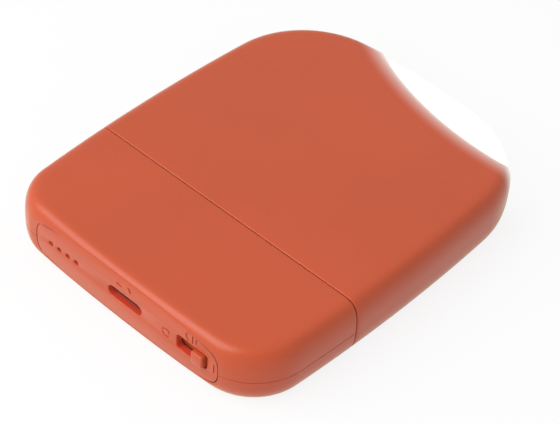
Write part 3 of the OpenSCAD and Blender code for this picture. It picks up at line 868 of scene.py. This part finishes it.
def near_shell(side):
    """The upper (1) or lower (-1) shell of the port end, as rings across the body"""
    s = sizes()
    form = Outline()
    middle = (s.parting_height + side * s.parting_gap / 2) / MM
    lip = s.parting_round / MM
    facet, back = PANEL_LOW.y / MM, PANEL_HIGH.y / MM
    behind_panel, hollow_from = back + 0.2, back + 0.3
    turn = side * np.linspace(0, math.pi, RAYS + 1)
    turn[0], turn[-1] = 0.0, side * math.pi

    ys, drawn = np.hsplit(shell_rings(facet, (SLEEVE_LOW.y - s.seam_gap) / MM), 2)
    out_x, out_z = form.section(ys, drawn, turn[None, :], middle)
    in_x, in_z = form.section(np.maximum(ys, hollow_from), s.wall / MM, turn[None, :], middle)
    hole_x, hole_z = facet_hole(facet, turn, side, middle)
    in_x = np.where(ys < behind_panel, hole_x[None, :], in_x)
    in_z = np.where(ys < behind_panel, hole_z[None, :], in_z)

    bm = bmesh.new()

    def point(x, y, z):
        return bm.verts.new((x * MM, y * MM, z * MM))

    rows = []
    for j, y in enumerate(ys[:, 0]):
        lips = []
        for x, sign in ((out_x[j, 0], 1), (out_x[j, -1], -1)):
            lips.append([point(x - sign * lip * (1 - math.cos(a)), y, middle + side * lip * (1 - math.sin(a)))
                         for a in reversed(arc_steps(LIP_STEPS))])
        outer = [point(x, y, z) for x, z in zip(out_x[j, 1:-1], out_z[j, 1:-1])]
        inner = [point(x, y, z) for x, z in zip(in_x[j], in_z[j])]
        rows.append((lips[0] + outer + lips[1][::-1], inner))
    bridge(bm, [outer + inner[::-1] for outer, inner in rows])
    at_lip = LIP_STEPS + 2
    for outer, inner in (rows[0], rows[-1]):
        bm.faces.new(outer[:at_lip] + [inner[1], inner[0]])
        bm.faces.new(outer[-at_lip:] + [inner[-1], inner[-2]])
        for k in range(1, RAYS - 1):
            bm.faces.new((outer[k + LIP_STEPS], outer[k + LIP_STEPS + 1], inner[k + 1], inner[k]))
    bmesh.ops.recalc_face_normals(bm, faces=bm.faces[:])
    return mesh_of(bm)


def upper_shell():
    """The upper shell with its two screw bosses"""
    shell = near_shell(1)
    low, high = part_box("chassis_screws")
    y, root = (low.y + high.y) / 2, NEAR_LOW.z
    into_wall, head_r = 0.0004, 0.0015
    bore_r, foot_r, boss_r, foot_t, bore_depth = 0.00085, 0.0017, 0.002, 0.0003, 0.006
    top = sizes().thick - sizes().wall + into_wall
    profile = [(bore_r, root), (foot_r, root), (boss_r, root + foot_t), (boss_r, top),
               (0, top), (0, root + bore_depth), (bore_r, root + bore_depth), (bore_r, root)]
    for x in (low.x + head_r, high.x - head_r):
        boss = ring_of_profile(profile, 40, Matrix.Translation((x, y, 0)))
        shell = combine(shell, boss, "UNION")
    return shell


def sleeve():
    """The one-piece sleeve: the body's form, hollowed, with the lamp's notch cut into its far corner"""
    s = sizes()
    mesh = body_form(0.0, SLEEVE_STEPS, SLEEVE_ROWS)
    start, at_seam, sharp = SLEEVE_LOW.y, 1e-6, 0.6
    keep_side(mesh, (0, start, 0), (0, 1, 0))
    soften(mesh, s.seam_round,
           lambda e: all(abs(v.co.y - start) < at_seam for v in e.verts) and e.calc_face_angle(0) > sharp)
    rim, r, past_body, just_over = s.notch_rim, s.notch_r, 0.02, 0.00002
    floor = LENS_LOW.z - s.lens_gap
    top = s.thick - rim + just_over
    profile = [(r - past_body, floor), (r, floor)]
    profile += [(r + rim * (1 - math.cos(a)), top + rim * math.sin(a)) for a in arc_steps(12)]
    profile += [(r + rim, s.thick + ABOVE_TOP), (r - past_body, s.thick + ABOVE_TOP)]
    notch = lathe_sector(profile, (s.notch_x, s.notch_y), *NOTCH_SWEEP, NOTCH_SWEEP_STEPS)
    mesh = combine(mesh, notch, "DIFFERENCE")
    return combine(mesh, body_form(s.wall, HOLLOW_STEPS, HIDDEN_ROWS), "DIFFERENCE")


# ---- Port end ----


def spline(curve, points):
    """Adds a closed line of straight pieces to a curve"""
    line = curve.splines.new("POLY")
    line.points.add(len(points) - 1)
    for point, (x, z) in zip(line.points, points):
        point.co = (x, z, 0.0, 1.0)
    line.use_cyclic_u = True


def pill(x, z, wide, high, corner, steps=10):
    """A rounded rectangle's outline, anticlockwise"""
    corner = min(corner, wide / 2, high / 2)
    points = []
    for q, (sx, sz) in enumerate(((1, 1), (-1, 1), (-1, -1), (1, -1))):
        for i in range(steps + 1):
            a = math.pi / 2 * (q + i / steps)
            points.append((x + sx * (wide / 2 - corner) + corner * math.cos(a),
                           z + sz * (high / 2 - corner) + corner * math.sin(a)))
    return points


def plate(outlines, front, back, round_edge=0.0, opened=1):
    """A flat plate upright across the body, its edges rounded: the outlines after the first are openings"""
    curve = bpy.data.curves.new("plate", "CURVE")
    curve.dimensions = "2D"
    curve.fill_mode = "BOTH"
    curve.bevel_mode = "ROUND"
    curve.extrude = (back - front) / 2 - round_edge
    curve.bevel_depth = round_edge
    curve.bevel_resolution = 2
    curve.offset = -round_edge
    for i, points in enumerate(outlines):
        spline(curve, points if i < opened else points[::-1])
    thing = bpy.data.objects.new("plate", curve)
    bpy.context.scene.collection.objects.link(thing)
    mesh = evaluated(thing)
    mesh.transform(Matrix.Rotation(math.radians(90), 4, "X"))
    mesh.transform(Matrix.Translation((0, (front + back) / 2, 0)))
    bm = bmesh.new()
    bm.from_mesh(mesh)
    bmesh.ops.remove_doubles(bm, verts=bm.verts[:], dist=1e-7)
    bmesh.ops.recalc_face_normals(bm, faces=bm.faces[:])
    bm.to_mesh(mesh)
    bm.free()
    return mesh


def panel_outline(drawn_in):
    """Outline of the flat facet, drawn in, in metres"""
    form = Outline(even=True)
    turn = np.linspace(-math.pi, math.pi, 361)[:-1]
    x, z = form.section(np.array([[PANEL_LOW.y / MM]]), 0.0, turn[None, :], form.waist)
    x, z = x[0], z[0]
    tx, tz = np.roll(x, -1) - np.roll(x, 1), np.roll(z, -1) - np.roll(z, 1)
    span = np.hypot(tx, tz)
    d = drawn_in / MM
    return [((a - d * v / w) * MM, (b + d * u / w) * MM)
            for a, b, u, v, w in zip(x, z, tx, tz, span)]


def panel_openings():
    """The port, the switch's slot and the indicators' holes"""
    s = sizes()
    h = s.port_height
    holes = [pill(0.0, h, s.port_wide, s.port_high, s.port_high / 2, 14),
             pill(s.switch_x, h, s.slot_wide, s.slot_high, s.slot_corner)]
    for i in range(s.indicators):
        holes.append(pill(s.indicator_x + i * s.indicator_step, h,
                          s.indicator_wide, s.indicator_wide, s.indicator_wide / 2, 8))
    return holes


def pictograms():
    """Outlines of the small signs: two half rings for off on the switch's left, a half ring and two
    bars for automatic over it, a bar for on at its right, and an arrow out and one in over the port"""
    s = sizes()
    h, x = s.port_height, s.switch_x
    left, right, above = x - 0.0068, x + 0.0058, h + 0.0035
    ring, stroke, corner, corner_steps = 0.0011, 0.00036, 0.0001, 3
    arrow_x, arrow_half, arrow_low, arrow_tip = 0.0015, 0.0008, 0.0006, 0.0007

    def arc(cx, cz, r, low, high):
        return [(cx + r * math.cos(math.radians(a)), cz + r * math.sin(math.radians(a)))
                for a in np.linspace(low, high, 25)]

    def band(cx, cz, low, high):
        return arc(cx, cz, ring, low, high) + arc(cx, cz, ring - stroke, high, low)

    signs = [band(left, h, 12.0, 168.0), band(left, h, 192.0, 348.0), band(x - 0.0006, above, 100.0, 260.0),
             pill(x + 0.0002, above, stroke, 2 * ring, corner, corner_steps),
             pill(x + 0.0011, above, stroke, 1.2 * ring, corner, corner_steps),
             pill(right, h, 1.2 * stroke, 2 * ring, 1.2 * corner, corner_steps)]
    for sign in (1, -1):
        cx, foot = -sign * arrow_x, above - sign * arrow_low
        arrow = [(cx - arrow_half, foot), (cx + arrow_half, foot), (cx, above + sign * arrow_tip)]
        signs.append(arrow[::sign])
    return signs


def end_panel():
    """The port end's panel with its openings, and the signs let into its face"""
    s = sizes()
    front, back = PANEL_LOW.y, PANEL_HIGH.y
    edge_round, before_face = 0.00018, 0.0005
    edge = panel_outline(s.panel_rim + s.panel_gap)
    panel = plate([edge] + panel_openings(), front, back, edge_round)
    signs = pictograms()
    signs = plate(signs, front - before_face, front + s.relief, opened=len(signs))
    return close_up(combine(panel, signs, "DIFFERENCE"))


def slide_knob():
    """The knob with its flange behind the panel and the socket for its lever"""
    s = sizes()
    half_travel, flange_t, flange_round = 0.002, 0.0004, 0.00008
    x, h, w = s.switch_x + half_travel, s.port_height, s.knob_wide / 2
    front, back = KNOB_LOW.y, KNOB_HIGH.y
    low, high = h - s.knob_high / 2, h + s.knob_high / 2
    cap = rounded_block((x - w, front, low), (x + w, back - flange_t / 2, high), s.knob_round, 4)
    flange = rounded_block((KNOB_LOW.x, back - flange_t, KNOB_LOW.z), KNOB_HIGH, flange_round, 2)
    knob = combine(cap, flange, "UNION")
    gap, past_lever, skin = 0.0001, 0.001, 0.0007
    half_w, half_h = 0.0006 + gap, 0.0008 + gap
    socket_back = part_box("switch_lever")[1].y + past_lever
    socket = block((x - half_w, PANEL_LOW.y + skin, h - half_h), (x + half_w, socket_back, h + half_h))
    return combine(knob, socket, "DIFFERENCE")


def ring_of_profile(profile, steps, axis):
    """A turned solid: a profile of [radius, distance along the axis] from its start to its end"""
    bm = bmesh.new()
    rings = []
    for r, d in profile:
        if r == 0:
            rings.append([bm.verts.new(axis @ Vector((0, 0, d)))])
        else:
            rings.append([bm.verts.new(axis @ Vector((r * math.cos(2 * math.pi * i / steps),
                                                      r * math.sin(2 * math.pi * i / steps), d)))
                          for i in range(steps)])
    for one, two in zip(rings, rings[1:]):
        for i in range(steps):
            k = (i + 1) % steps
            corners = [one[i % len(one)], one[k % len(one)], two[k % len(two)], two[i % len(two)]]
            if len(one) + len(two) > 2:
                bm.faces.new(list(dict.fromkeys(corners)))
    bmesh.ops.remove_doubles(bm, verts=bm.verts[:], dist=1e-8)
    bmesh.ops.recalc_face_normals(bm, faces=bm.faces[:])
    return mesh_of(bm)


def indicator_lenses():
    """Light pipes: one domed pin for each hole, on a bar behind the panel"""
    s = sizes()
    low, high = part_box("indicator_lenses")
    free, into_bar, crown, bar_round = 0.00005, 0.0005, 0.0002, 0.0001
    r = s.indicator_wide / 2 - free
    tip, root = low.y, PANEL_HIGH.y + into_bar
    axis = Matrix.Translation((s.indicator_x, 0, s.port_height)) @ Matrix.Rotation(math.radians(-90), 4, "X")
    profile = [(0, tip)] + [(r * math.sin(a), tip + crown * (1 - math.cos(a))) for a in arc_steps(5)[1:]]
    profile += [(r, root), (0, root)]
    pin = ring_of_profile(profile, 28, axis)
    pins = grow(tree_for(even_rows_tree), pin, {
        "Count": s.indicators, "Step": (s.indicator_step, 0.0, 0.0), "Rows": 1,
        "Row step": (0.0, 0.0, 0.0), "Material": None})
    bar = rounded_block((low.x, PANEL_HIGH.y, low.z), high, bar_round, 2)
    return combine(bar, pins, "UNION")


def tube_of_outline(outer, inner, front, back, depth):
    """A drawn cup along Y: open in front, closed behind at a depth"""
    mouth = 0.0001
    bm = bmesh.new()

    def ring(points, y):
        return [bm.verts.new((x, y, z)) for x, z in points]

    return solid_of_loops(bm, [ring(inner, depth), ring(inner, front + mouth), ring(outer, front),
                               ring(outer, back)])


def port_shell():
    """The port's drawn steel shell, with a rolled mouth"""
    wide, high = PORT_HIGH.x - PORT_LOW.x, PORT_HIGH.z - PORT_LOW.z
    wall, mouth_round, sharp = 0.0003, 0.00006, 1.2
    h = (PORT_HIGH.z + PORT_LOW.z) / 2
    outer = pill(0.0, h, wide, high, high / 2, 14)
    inner = pill(0.0, h, wide - 2 * wall, high - 2 * wall, high / 2 - wall, 14)
    mesh = tube_of_outline(outer, inner, PORT_LOW.y, PORT_HIGH.y, PORT_HIGH.y - wall)
    return soften(mesh, mouth_round, lambda e: e.calc_face_angle(0) > sharp, 2)


def port_tongue():
    """The tongue with its thicker root"""
    low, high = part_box("usb_tongue")
    root_t, into_root, half_w, half_t, blade_round = 0.0014, 0.0004, 0.00335, 0.00035, 0.00012
    h = (low.z + high.z) / 2
    root = high.y - root_t
    blade = rounded_block((-half_w, low.y, h - half_t), (half_w, root + into_root, h + half_t), blade_round)
    wide, tall = high.x - low.x, high.z - low.z
    ends = pill(0.0, h, wide, tall, tall / 2, 12)
    bm = bmesh.new()
    loops = [[bm.verts.new((x, y, z)) for x, z in ends] for y in (root, high.y)]
    return combine(blade, solid_of_loops(bm, loops), "UNION")


def port_contacts():
    """Twelve contacts on each side of the tongue"""
    low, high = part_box("usb_contacts")
    count, wide, thick, edge = 12, 0.00025, 0.00008, 0.00002
    step = (high.x - low.x - wide) / (count - 1)
    contact = rounded_block(low, (low.x + wide, high.y, low.z + thick), edge, 1)
    return grow(tree_for(even_rows_tree), contact, {
        "Count": count, "Step": (step, 0.0, 0.0), "Rows": 2,
        "Row step": (0.0, 0.0, high.z - low.z - thick), "Material": FINISHES["contact_gold"]})


# ---- Lamp ----


def lamp_lens():
    """The hollow lens: it fills the notch just under the body's surface, with a flange behind the rim"""
    s = sizes()
    floor, top = LENS_LOW.z, s.thick - s.lens_inset
    over = top + ABOVE_TOP
    rim, just_over, past_body, flange_reach = 0.0008, 0.00001, 0.034, 0.0006
    r = s.notch_r - s.lens_gap
    inner_r, behind = r - past_body, s.notch_r + flange_reach

    def wedge(profile):
        return lathe_sector(profile, (s.notch_x, s.notch_y), *LENS_SWEEP, LENS_SWEEP_STEPS)

    profile = [(inner_r, floor), (r, floor)]
    profile += [(r - rim * (1 - math.cos(a)), top - rim + just_over + rim * math.sin(a))
                for a in arc_steps(6)]
    profile += [(r - rim, over), (inner_r, over)]
    lens = combine(body_form(s.lens_inset, LENS_STEPS, LENS_ROWS), wedge(profile), "INTERSECT")
    profile = [(inner_r, floor), (behind, floor), (behind, over), (inner_r, over)]
    drawn = s.wall + s.lens_gap
    flange = combine(body_form(drawn, FLANGE_STEPS, HIDDEN_ROWS), wedge(profile), "INTERSECT")
    lens = combine(lens, flange, "UNION")
    hollow = body_form(drawn + s.lens_wall, HOLLOW_STEPS, HIDDEN_ROWS)
    return close_up(combine(lens, hollow, "DIFFERENCE"))


def lamp_leds():
    """The lamp's LEDs in an arc behind the lens, each with its domed window"""
    s = sizes()
    arc_from, arc_to, behind_notch = -113.0, -91.0, 0.0007
    solder, thick, wide, tall = 0.0001, 0.0006, 0.003, 0.0026
    proud, window_t, window_wide, window_tall = 0.00015, 0.0003, 0.72 * wide, 0.68 * tall
    package_round, window_round = 0.00008, 0.0001
    step = (arc_to - arc_from) / s.lamps
    low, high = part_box("lamp_leds")
    h = (low.z + high.z) / 2
    face = s.notch_r + behind_notch - solder - thick

    def plaque(start, stop, across, up, edge):
        return rounded_block((start, -across / 2, h - up / 2), (stop, across / 2, h + up / 2), edge, 2)

    led = combine(plaque(face + proud, face + thick, wide, tall, package_round),
                  plaque(face, face + window_t, window_wide, window_tall, window_round), "UNION")
    return grow(tree_for(round_an_arc_tree), led, {
        "Count": s.lamps, "Centre": (s.notch_x, s.notch_y, 0.0),
        "First angle": math.radians(arc_from + step / 2), "Step angle": math.radians(step),
        "Material": FINISHES["led_package"]})


# ---- Screws ----


def screws(node, up):
    """A pair of pan-head screws with crossed drive recesses"""
    low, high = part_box(node)
    head_r, shank_r, head_t, thread, plain_end, tip_t = 0.0015, 0.0008, 0.0008, 0.0004, 0.0006, 0.0001
    drive_long, drive_wide, drive_deep = 0.0014, 0.00034, 0.0005
    whole = high.z - low.z
    centre = Vector((low.x + head_r, (low.y + high.y) / 2, high.z if up else low.z))
    axis = Matrix.Translation(centre) @ Matrix.Diagonal((1, 1, 1 if up else -1, 1))
    profile = [(0, 0.0), (head_r * 0.6, 0.0), (head_r * 0.85, -head_t * 0.15), (head_r, -head_t * 0.5),
               (head_r, -head_t), (shank_r, -head_t)]
    for i in range(int((whole - head_t - plain_end) / thread)):
        start = -head_t - i * thread
        profile += [(shank_r * 0.84, start - thread * 0.5), (shank_r, start - thread)]
    profile += [(shank_r * 0.6, -whole + tip_t), (0, -whole)]
    screw = ring_of_profile(profile, 24, axis)
    for wide, long in ((drive_long, drive_wide), (drive_wide, drive_long)):
        corner = Vector((wide / 2, long / 2, drive_deep))
        screw = combine(screw, block(centre - corner, centre + corner), "DIFFERENCE")
    return grow(tree_for(even_rows_tree), screw, {
        "Count": 2, "Step": (high.x - low.x - 2 * head_r, 0.0, 0.0), "Rows": 1,
        "Row step": (0.0, 0.0, 0.0), "Material": FINISHES["screw_steel"]})


# ---- Operators ----


class MakeShells(bpy.types.Operator):
    """Make the sleeve and the two shells of the port end"""

    bl_idname = "power_bank.shells"
    bl_label = "Shells"

    def execute(self, context):
        hand_over(sleeve(), "sleeve_moulding", "orange_case", "case", "sleeve")
        hand_over(upper_shell(), "upper_end_shell", "orange_case", "case", "top_shell")
        hand_over(near_shell(-1), "lower_end_shell", "orange_case", "case", "bottom_shell")
        return {"FINISHED"}


class MakePanel(bpy.types.Operator):
    """Make the panel of the port end with its openings and signs"""

    bl_idname = "power_bank.panel"
    bl_label = "End panel"

    def execute(self, context):
        hand_over(end_panel(), "port_end_panel", "orange_case", "case", "end_panel",
                  finish="panel_case")
        return {"FINISHED"}


class MakeKnob(bpy.types.Operator):
    """Make the sliding knob of the switch"""

    bl_idname = "power_bank.knob"
    bl_label = "Switch knob"

    def execute(self, context):
        hand_over(slide_knob(), "sliding_knob", "orange_case", "switch", "switch_knob")
        return {"FINISHED"}


class MakeIndicators(bpy.types.Operator):
    """Make the light pipes of the charge indicators"""

    bl_idname = "power_bank.indicators"
    bl_label = "Indicators"

    def execute(self, context):
        hand_over(indicator_lenses(), "indicator_pins", "indicator_lens", "case", "indicator_lenses")
        return {"FINISHED"}


class MakePort(bpy.types.Operator):
    """Make the charging port: its shell, its tongue and its contacts"""

    bl_idname = "power_bank.port"
    bl_label = "Charging port"

    def execute(self, context):
        hand_over(port_shell(), "port_steel_shell", "port_steel", "case", "usb_shell")
        hand_over(port_tongue(), "port_tongue", "black_moulding", "case", "usb_tongue")
        hand_over(port_contacts(), "port_contact_rows", "contact_gold", "case", "usb_contacts")
        return {"FINISHED"}


class MakeLamp(bpy.types.Operator):
    """Make the lamp's lens and its LEDs"""

    bl_idname = "power_bank.lamp"
    bl_label = "Lamp"

    def execute(self, context):
        hand_over(lamp_lens(), "lamp_lens", "lamp_lens", "case", "lamp_diffuser")
        hand_over(lamp_leds(), "lamp_led_arc", "led_package", "case", "lamp_leds")
        return {"FINISHED"}


class MakeScrews(bpy.types.Operator):
    """Make the screws of the chassis and of the main board"""

    bl_idname = "power_bank.screws"
    bl_label = "Screws"

    def execute(self, context):
        for node, up, name in (("chassis_screws", False, "chassis_screw_pair"),
                               ("board_screws", True, "board_screw_pair")):
            hand_over(screws(node, up), name, "screw_steel", "case", node)
        return {"FINISHED"}


INNER_SLOTS = {
    "chassis": "grey_moulding", "main_board": "circuit_board", "switch_body": "port_steel",
    "switch_contacts": "contact_gold", "switch_lever": "black_moulding", "switch_wiper": "contact_gold",
    "indicator_leds": "led_package", "power_inductor": "black_moulding", "control_chips": "black_moulding",
    "capacitors": "capacitor_body", "battery_cell": "cell_foil", "battery_pad": "foam_pad",
    "battery_tabs": "port_steel", "protection_board": "circuit_board", "battery_wires": "wire_sleeving",
    "lamp_reflector": "white_moulding", "lamp_board": "white_moulding", "lamp_ribbon": "ribbon_film",
}


class DressInside(bpy.types.Operator):
    """Give the pieces inside the body their finishes"""

    bl_idname = "power_bank.inside"
    bl_label = "Inside pieces"

    def execute(self, context):
        for node, slot in INNER_SLOTS.items():
            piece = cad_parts[node]
            dress(piece, slot)
        return {"FINISHED"}


def area_light(name, place, aim, size, power):
    """A soft rectangular light that looks at its aim"""
    light = bpy.data.lights.new(name, "AREA")
    light.shape = "RECTANGLE"
    light.size, light.size_y = size
    light.energy = power
    lamp = bpy.data.objects.new(name, light)
    bpy.context.scene.collection.objects.link(lamp)
    lamp.location = place
    lamp.rotation_euler = (Vector(place) - Vector(aim)).to_track_quat("Z", "Y").to_euler()


def seen_directly(net):
    """1 where the camera, a reflection or a pane of glass looks at a surface"""
    rays = net.add("ShaderNodeLightPath")

    def ray(name):
        return Value(net, rays.socket.node.outputs[name])

    seen = ray("Is Camera Ray").math("MAXIMUM", ray("Is Glossy Ray"))
    return seen.math("MAXIMUM", ray("Is Transmission Ray"))


def pale_floor():
    """Plain pale floor that shows a soft shadow"""
    material, net = new_material("pale_floor")
    tint = colours()
    haze = net.noise(6.0, 2.0)
    base = net.blend(haze, tuple(0.985 * c for c in tint.floor), tint.floor)
    matte = net.add("ShaderNodeBsdfDiffuse", None, {"Color": base})
    plain = net.add("ShaderNodeEmission", None, {"Color": (1.0, 1.0, 1.0), "Strength": 1.0})
    share = seen_directly(net) * FLOOR_WHITENING
    finish_with(net, net.add("ShaderNodeMixShader", None, {0: share, 1: matte, 2: plain}))
    return material


def lay_floor():
    """A wide round floor just under the body"""
    bm = bmesh.new()
    bmesh.ops.create_circle(bm, cap_ends=True, segments=96, radius=FLOOR_RADIUS)
    floor = bpy.data.objects.new("floor", mesh_of(bm, "floor"))
    bpy.context.scene.collection.objects.link(floor)
    floor.location = (0, 0, -FLOOR_DROP)
    floor.data.materials.append(pale_floor())


def surroundings():
    """A world that lights softly and looks plain white"""
    world = bpy.data.worlds.new("surroundings")
    world.use_nodes = True
    world.node_tree.nodes.clear()
    net = Net(world.node_tree)
    seen = seen_directly(net)
    white = (1.0, 1.0, 1.0)
    pale = net.add("ShaderNodeBackground", None, {"Color": white, "Strength": 1.0})
    soft = net.add("ShaderNodeBackground", None, {"Color": white, "Strength": SOFT_SURROUNDINGS})
    mixed = net.add("ShaderNodeMixShader", None, {0: seen, 1: soft, 2: pale})
    net.add("ShaderNodeOutputWorld", None, {"Surface": mixed})
    return world


def camera():
    """The camera, looking down on the port end and the right side"""
    azimuth, elevation, roll = (math.radians(a) for a in (VIEW_AZIMUTH, VIEW_ELEVATION, VIEW_ROLL))
    back = Vector((math.sin(azimuth) * math.cos(elevation),
                   -math.cos(azimuth) * math.cos(elevation), math.sin(elevation)))
    right = Vector((math.cos(azimuth), math.sin(azimuth), 0))
    up = back.cross(right)
    across = math.cos(roll) * right + math.sin(roll) * up
    upward = -math.sin(roll) * right + math.cos(roll) * up
    place = Vector(VIEW_AIM) + VIEW_SHIFT[0] * across + VIEW_SHIFT[1] * upward + VIEW_DISTANCE * back
    lens = bpy.data.cameras.new("camera")
    lens.lens, lens.sensor_width = FOCAL_LENGTH, SENSOR_WIDTH
    lens.clip_start, lens.clip_end = 0.01, 50.0
    made = bpy.data.objects.new("camera", lens)
    made.matrix_world = Matrix((*zip(across, upward, back, place), (0, 0, 0, 1)))
    bpy.context.scene.collection.objects.link(made)
    return made


class SetStage(bpy.types.Operator):
    """Set the floor, the lights, the surroundings and the camera"""

    bl_idname = "power_bank.stage"
    bl_label = "Stage"

    def execute(self, context):
        scene = context.scene
        lay_floor()
        for name, light in LIGHTS.items():
            area_light(name, **light)
        scene.world = surroundings()
        scene.camera = camera()
        scene.view_settings.view_transform = "Standard"
        return {"FINISHED"}


MAKERS = (MakeShells, MakePanel, MakeKnob, MakeIndicators, MakePort, MakeLamp, MakeScrews,
          DressInside, SetStage)


class BankPanel(bpy.types.Panel):
    """Lists the pieces of the power bank"""

    bl_idname = "VIEW3D_PT_power_bank"
    bl_label = "Power Bank"
    bl_space_type = "VIEW_3D"
    bl_region_type = "UI"
    bl_category = "Power Bank"

    def draw(self, context):
        for maker in MAKERS:
            self.layout.operator(maker.bl_idname)
        for group in (context.scene.power_bank_sizes, context.scene.power_bank_colours):
            column = self.layout.column(align=True)
            for name in group.__annotations__:
                column.prop(group, name)


CLASSES = (BankSizes, BankColours, *MAKERS, BankPanel)


def register():
    """Adds the property groups, the operators and the panel"""
    for made in CLASSES:
        bpy.utils.register_class(made)
    bpy.types.Scene.power_bank_sizes = PointerProperty(type=BankSizes)
    bpy.types.Scene.power_bank_colours = PointerProperty(type=BankColours)


def unregister():
    """Takes them away again"""
    del bpy.types.Scene.power_bank_colours
    del bpy.types.Scene.power_bank_sizes
    for made in reversed(CLASSES):
        bpy.utils.unregister_class(made)


def main():
    """Makes every piece and the stage"""
    register()
    FINISHES.update(make_finishes())
    for maker in MAKERS:
        group, name = maker.bl_idname.split(".")
        getattr(getattr(bpy.ops, group), name)()


if __name__ == "__main__":
    main()
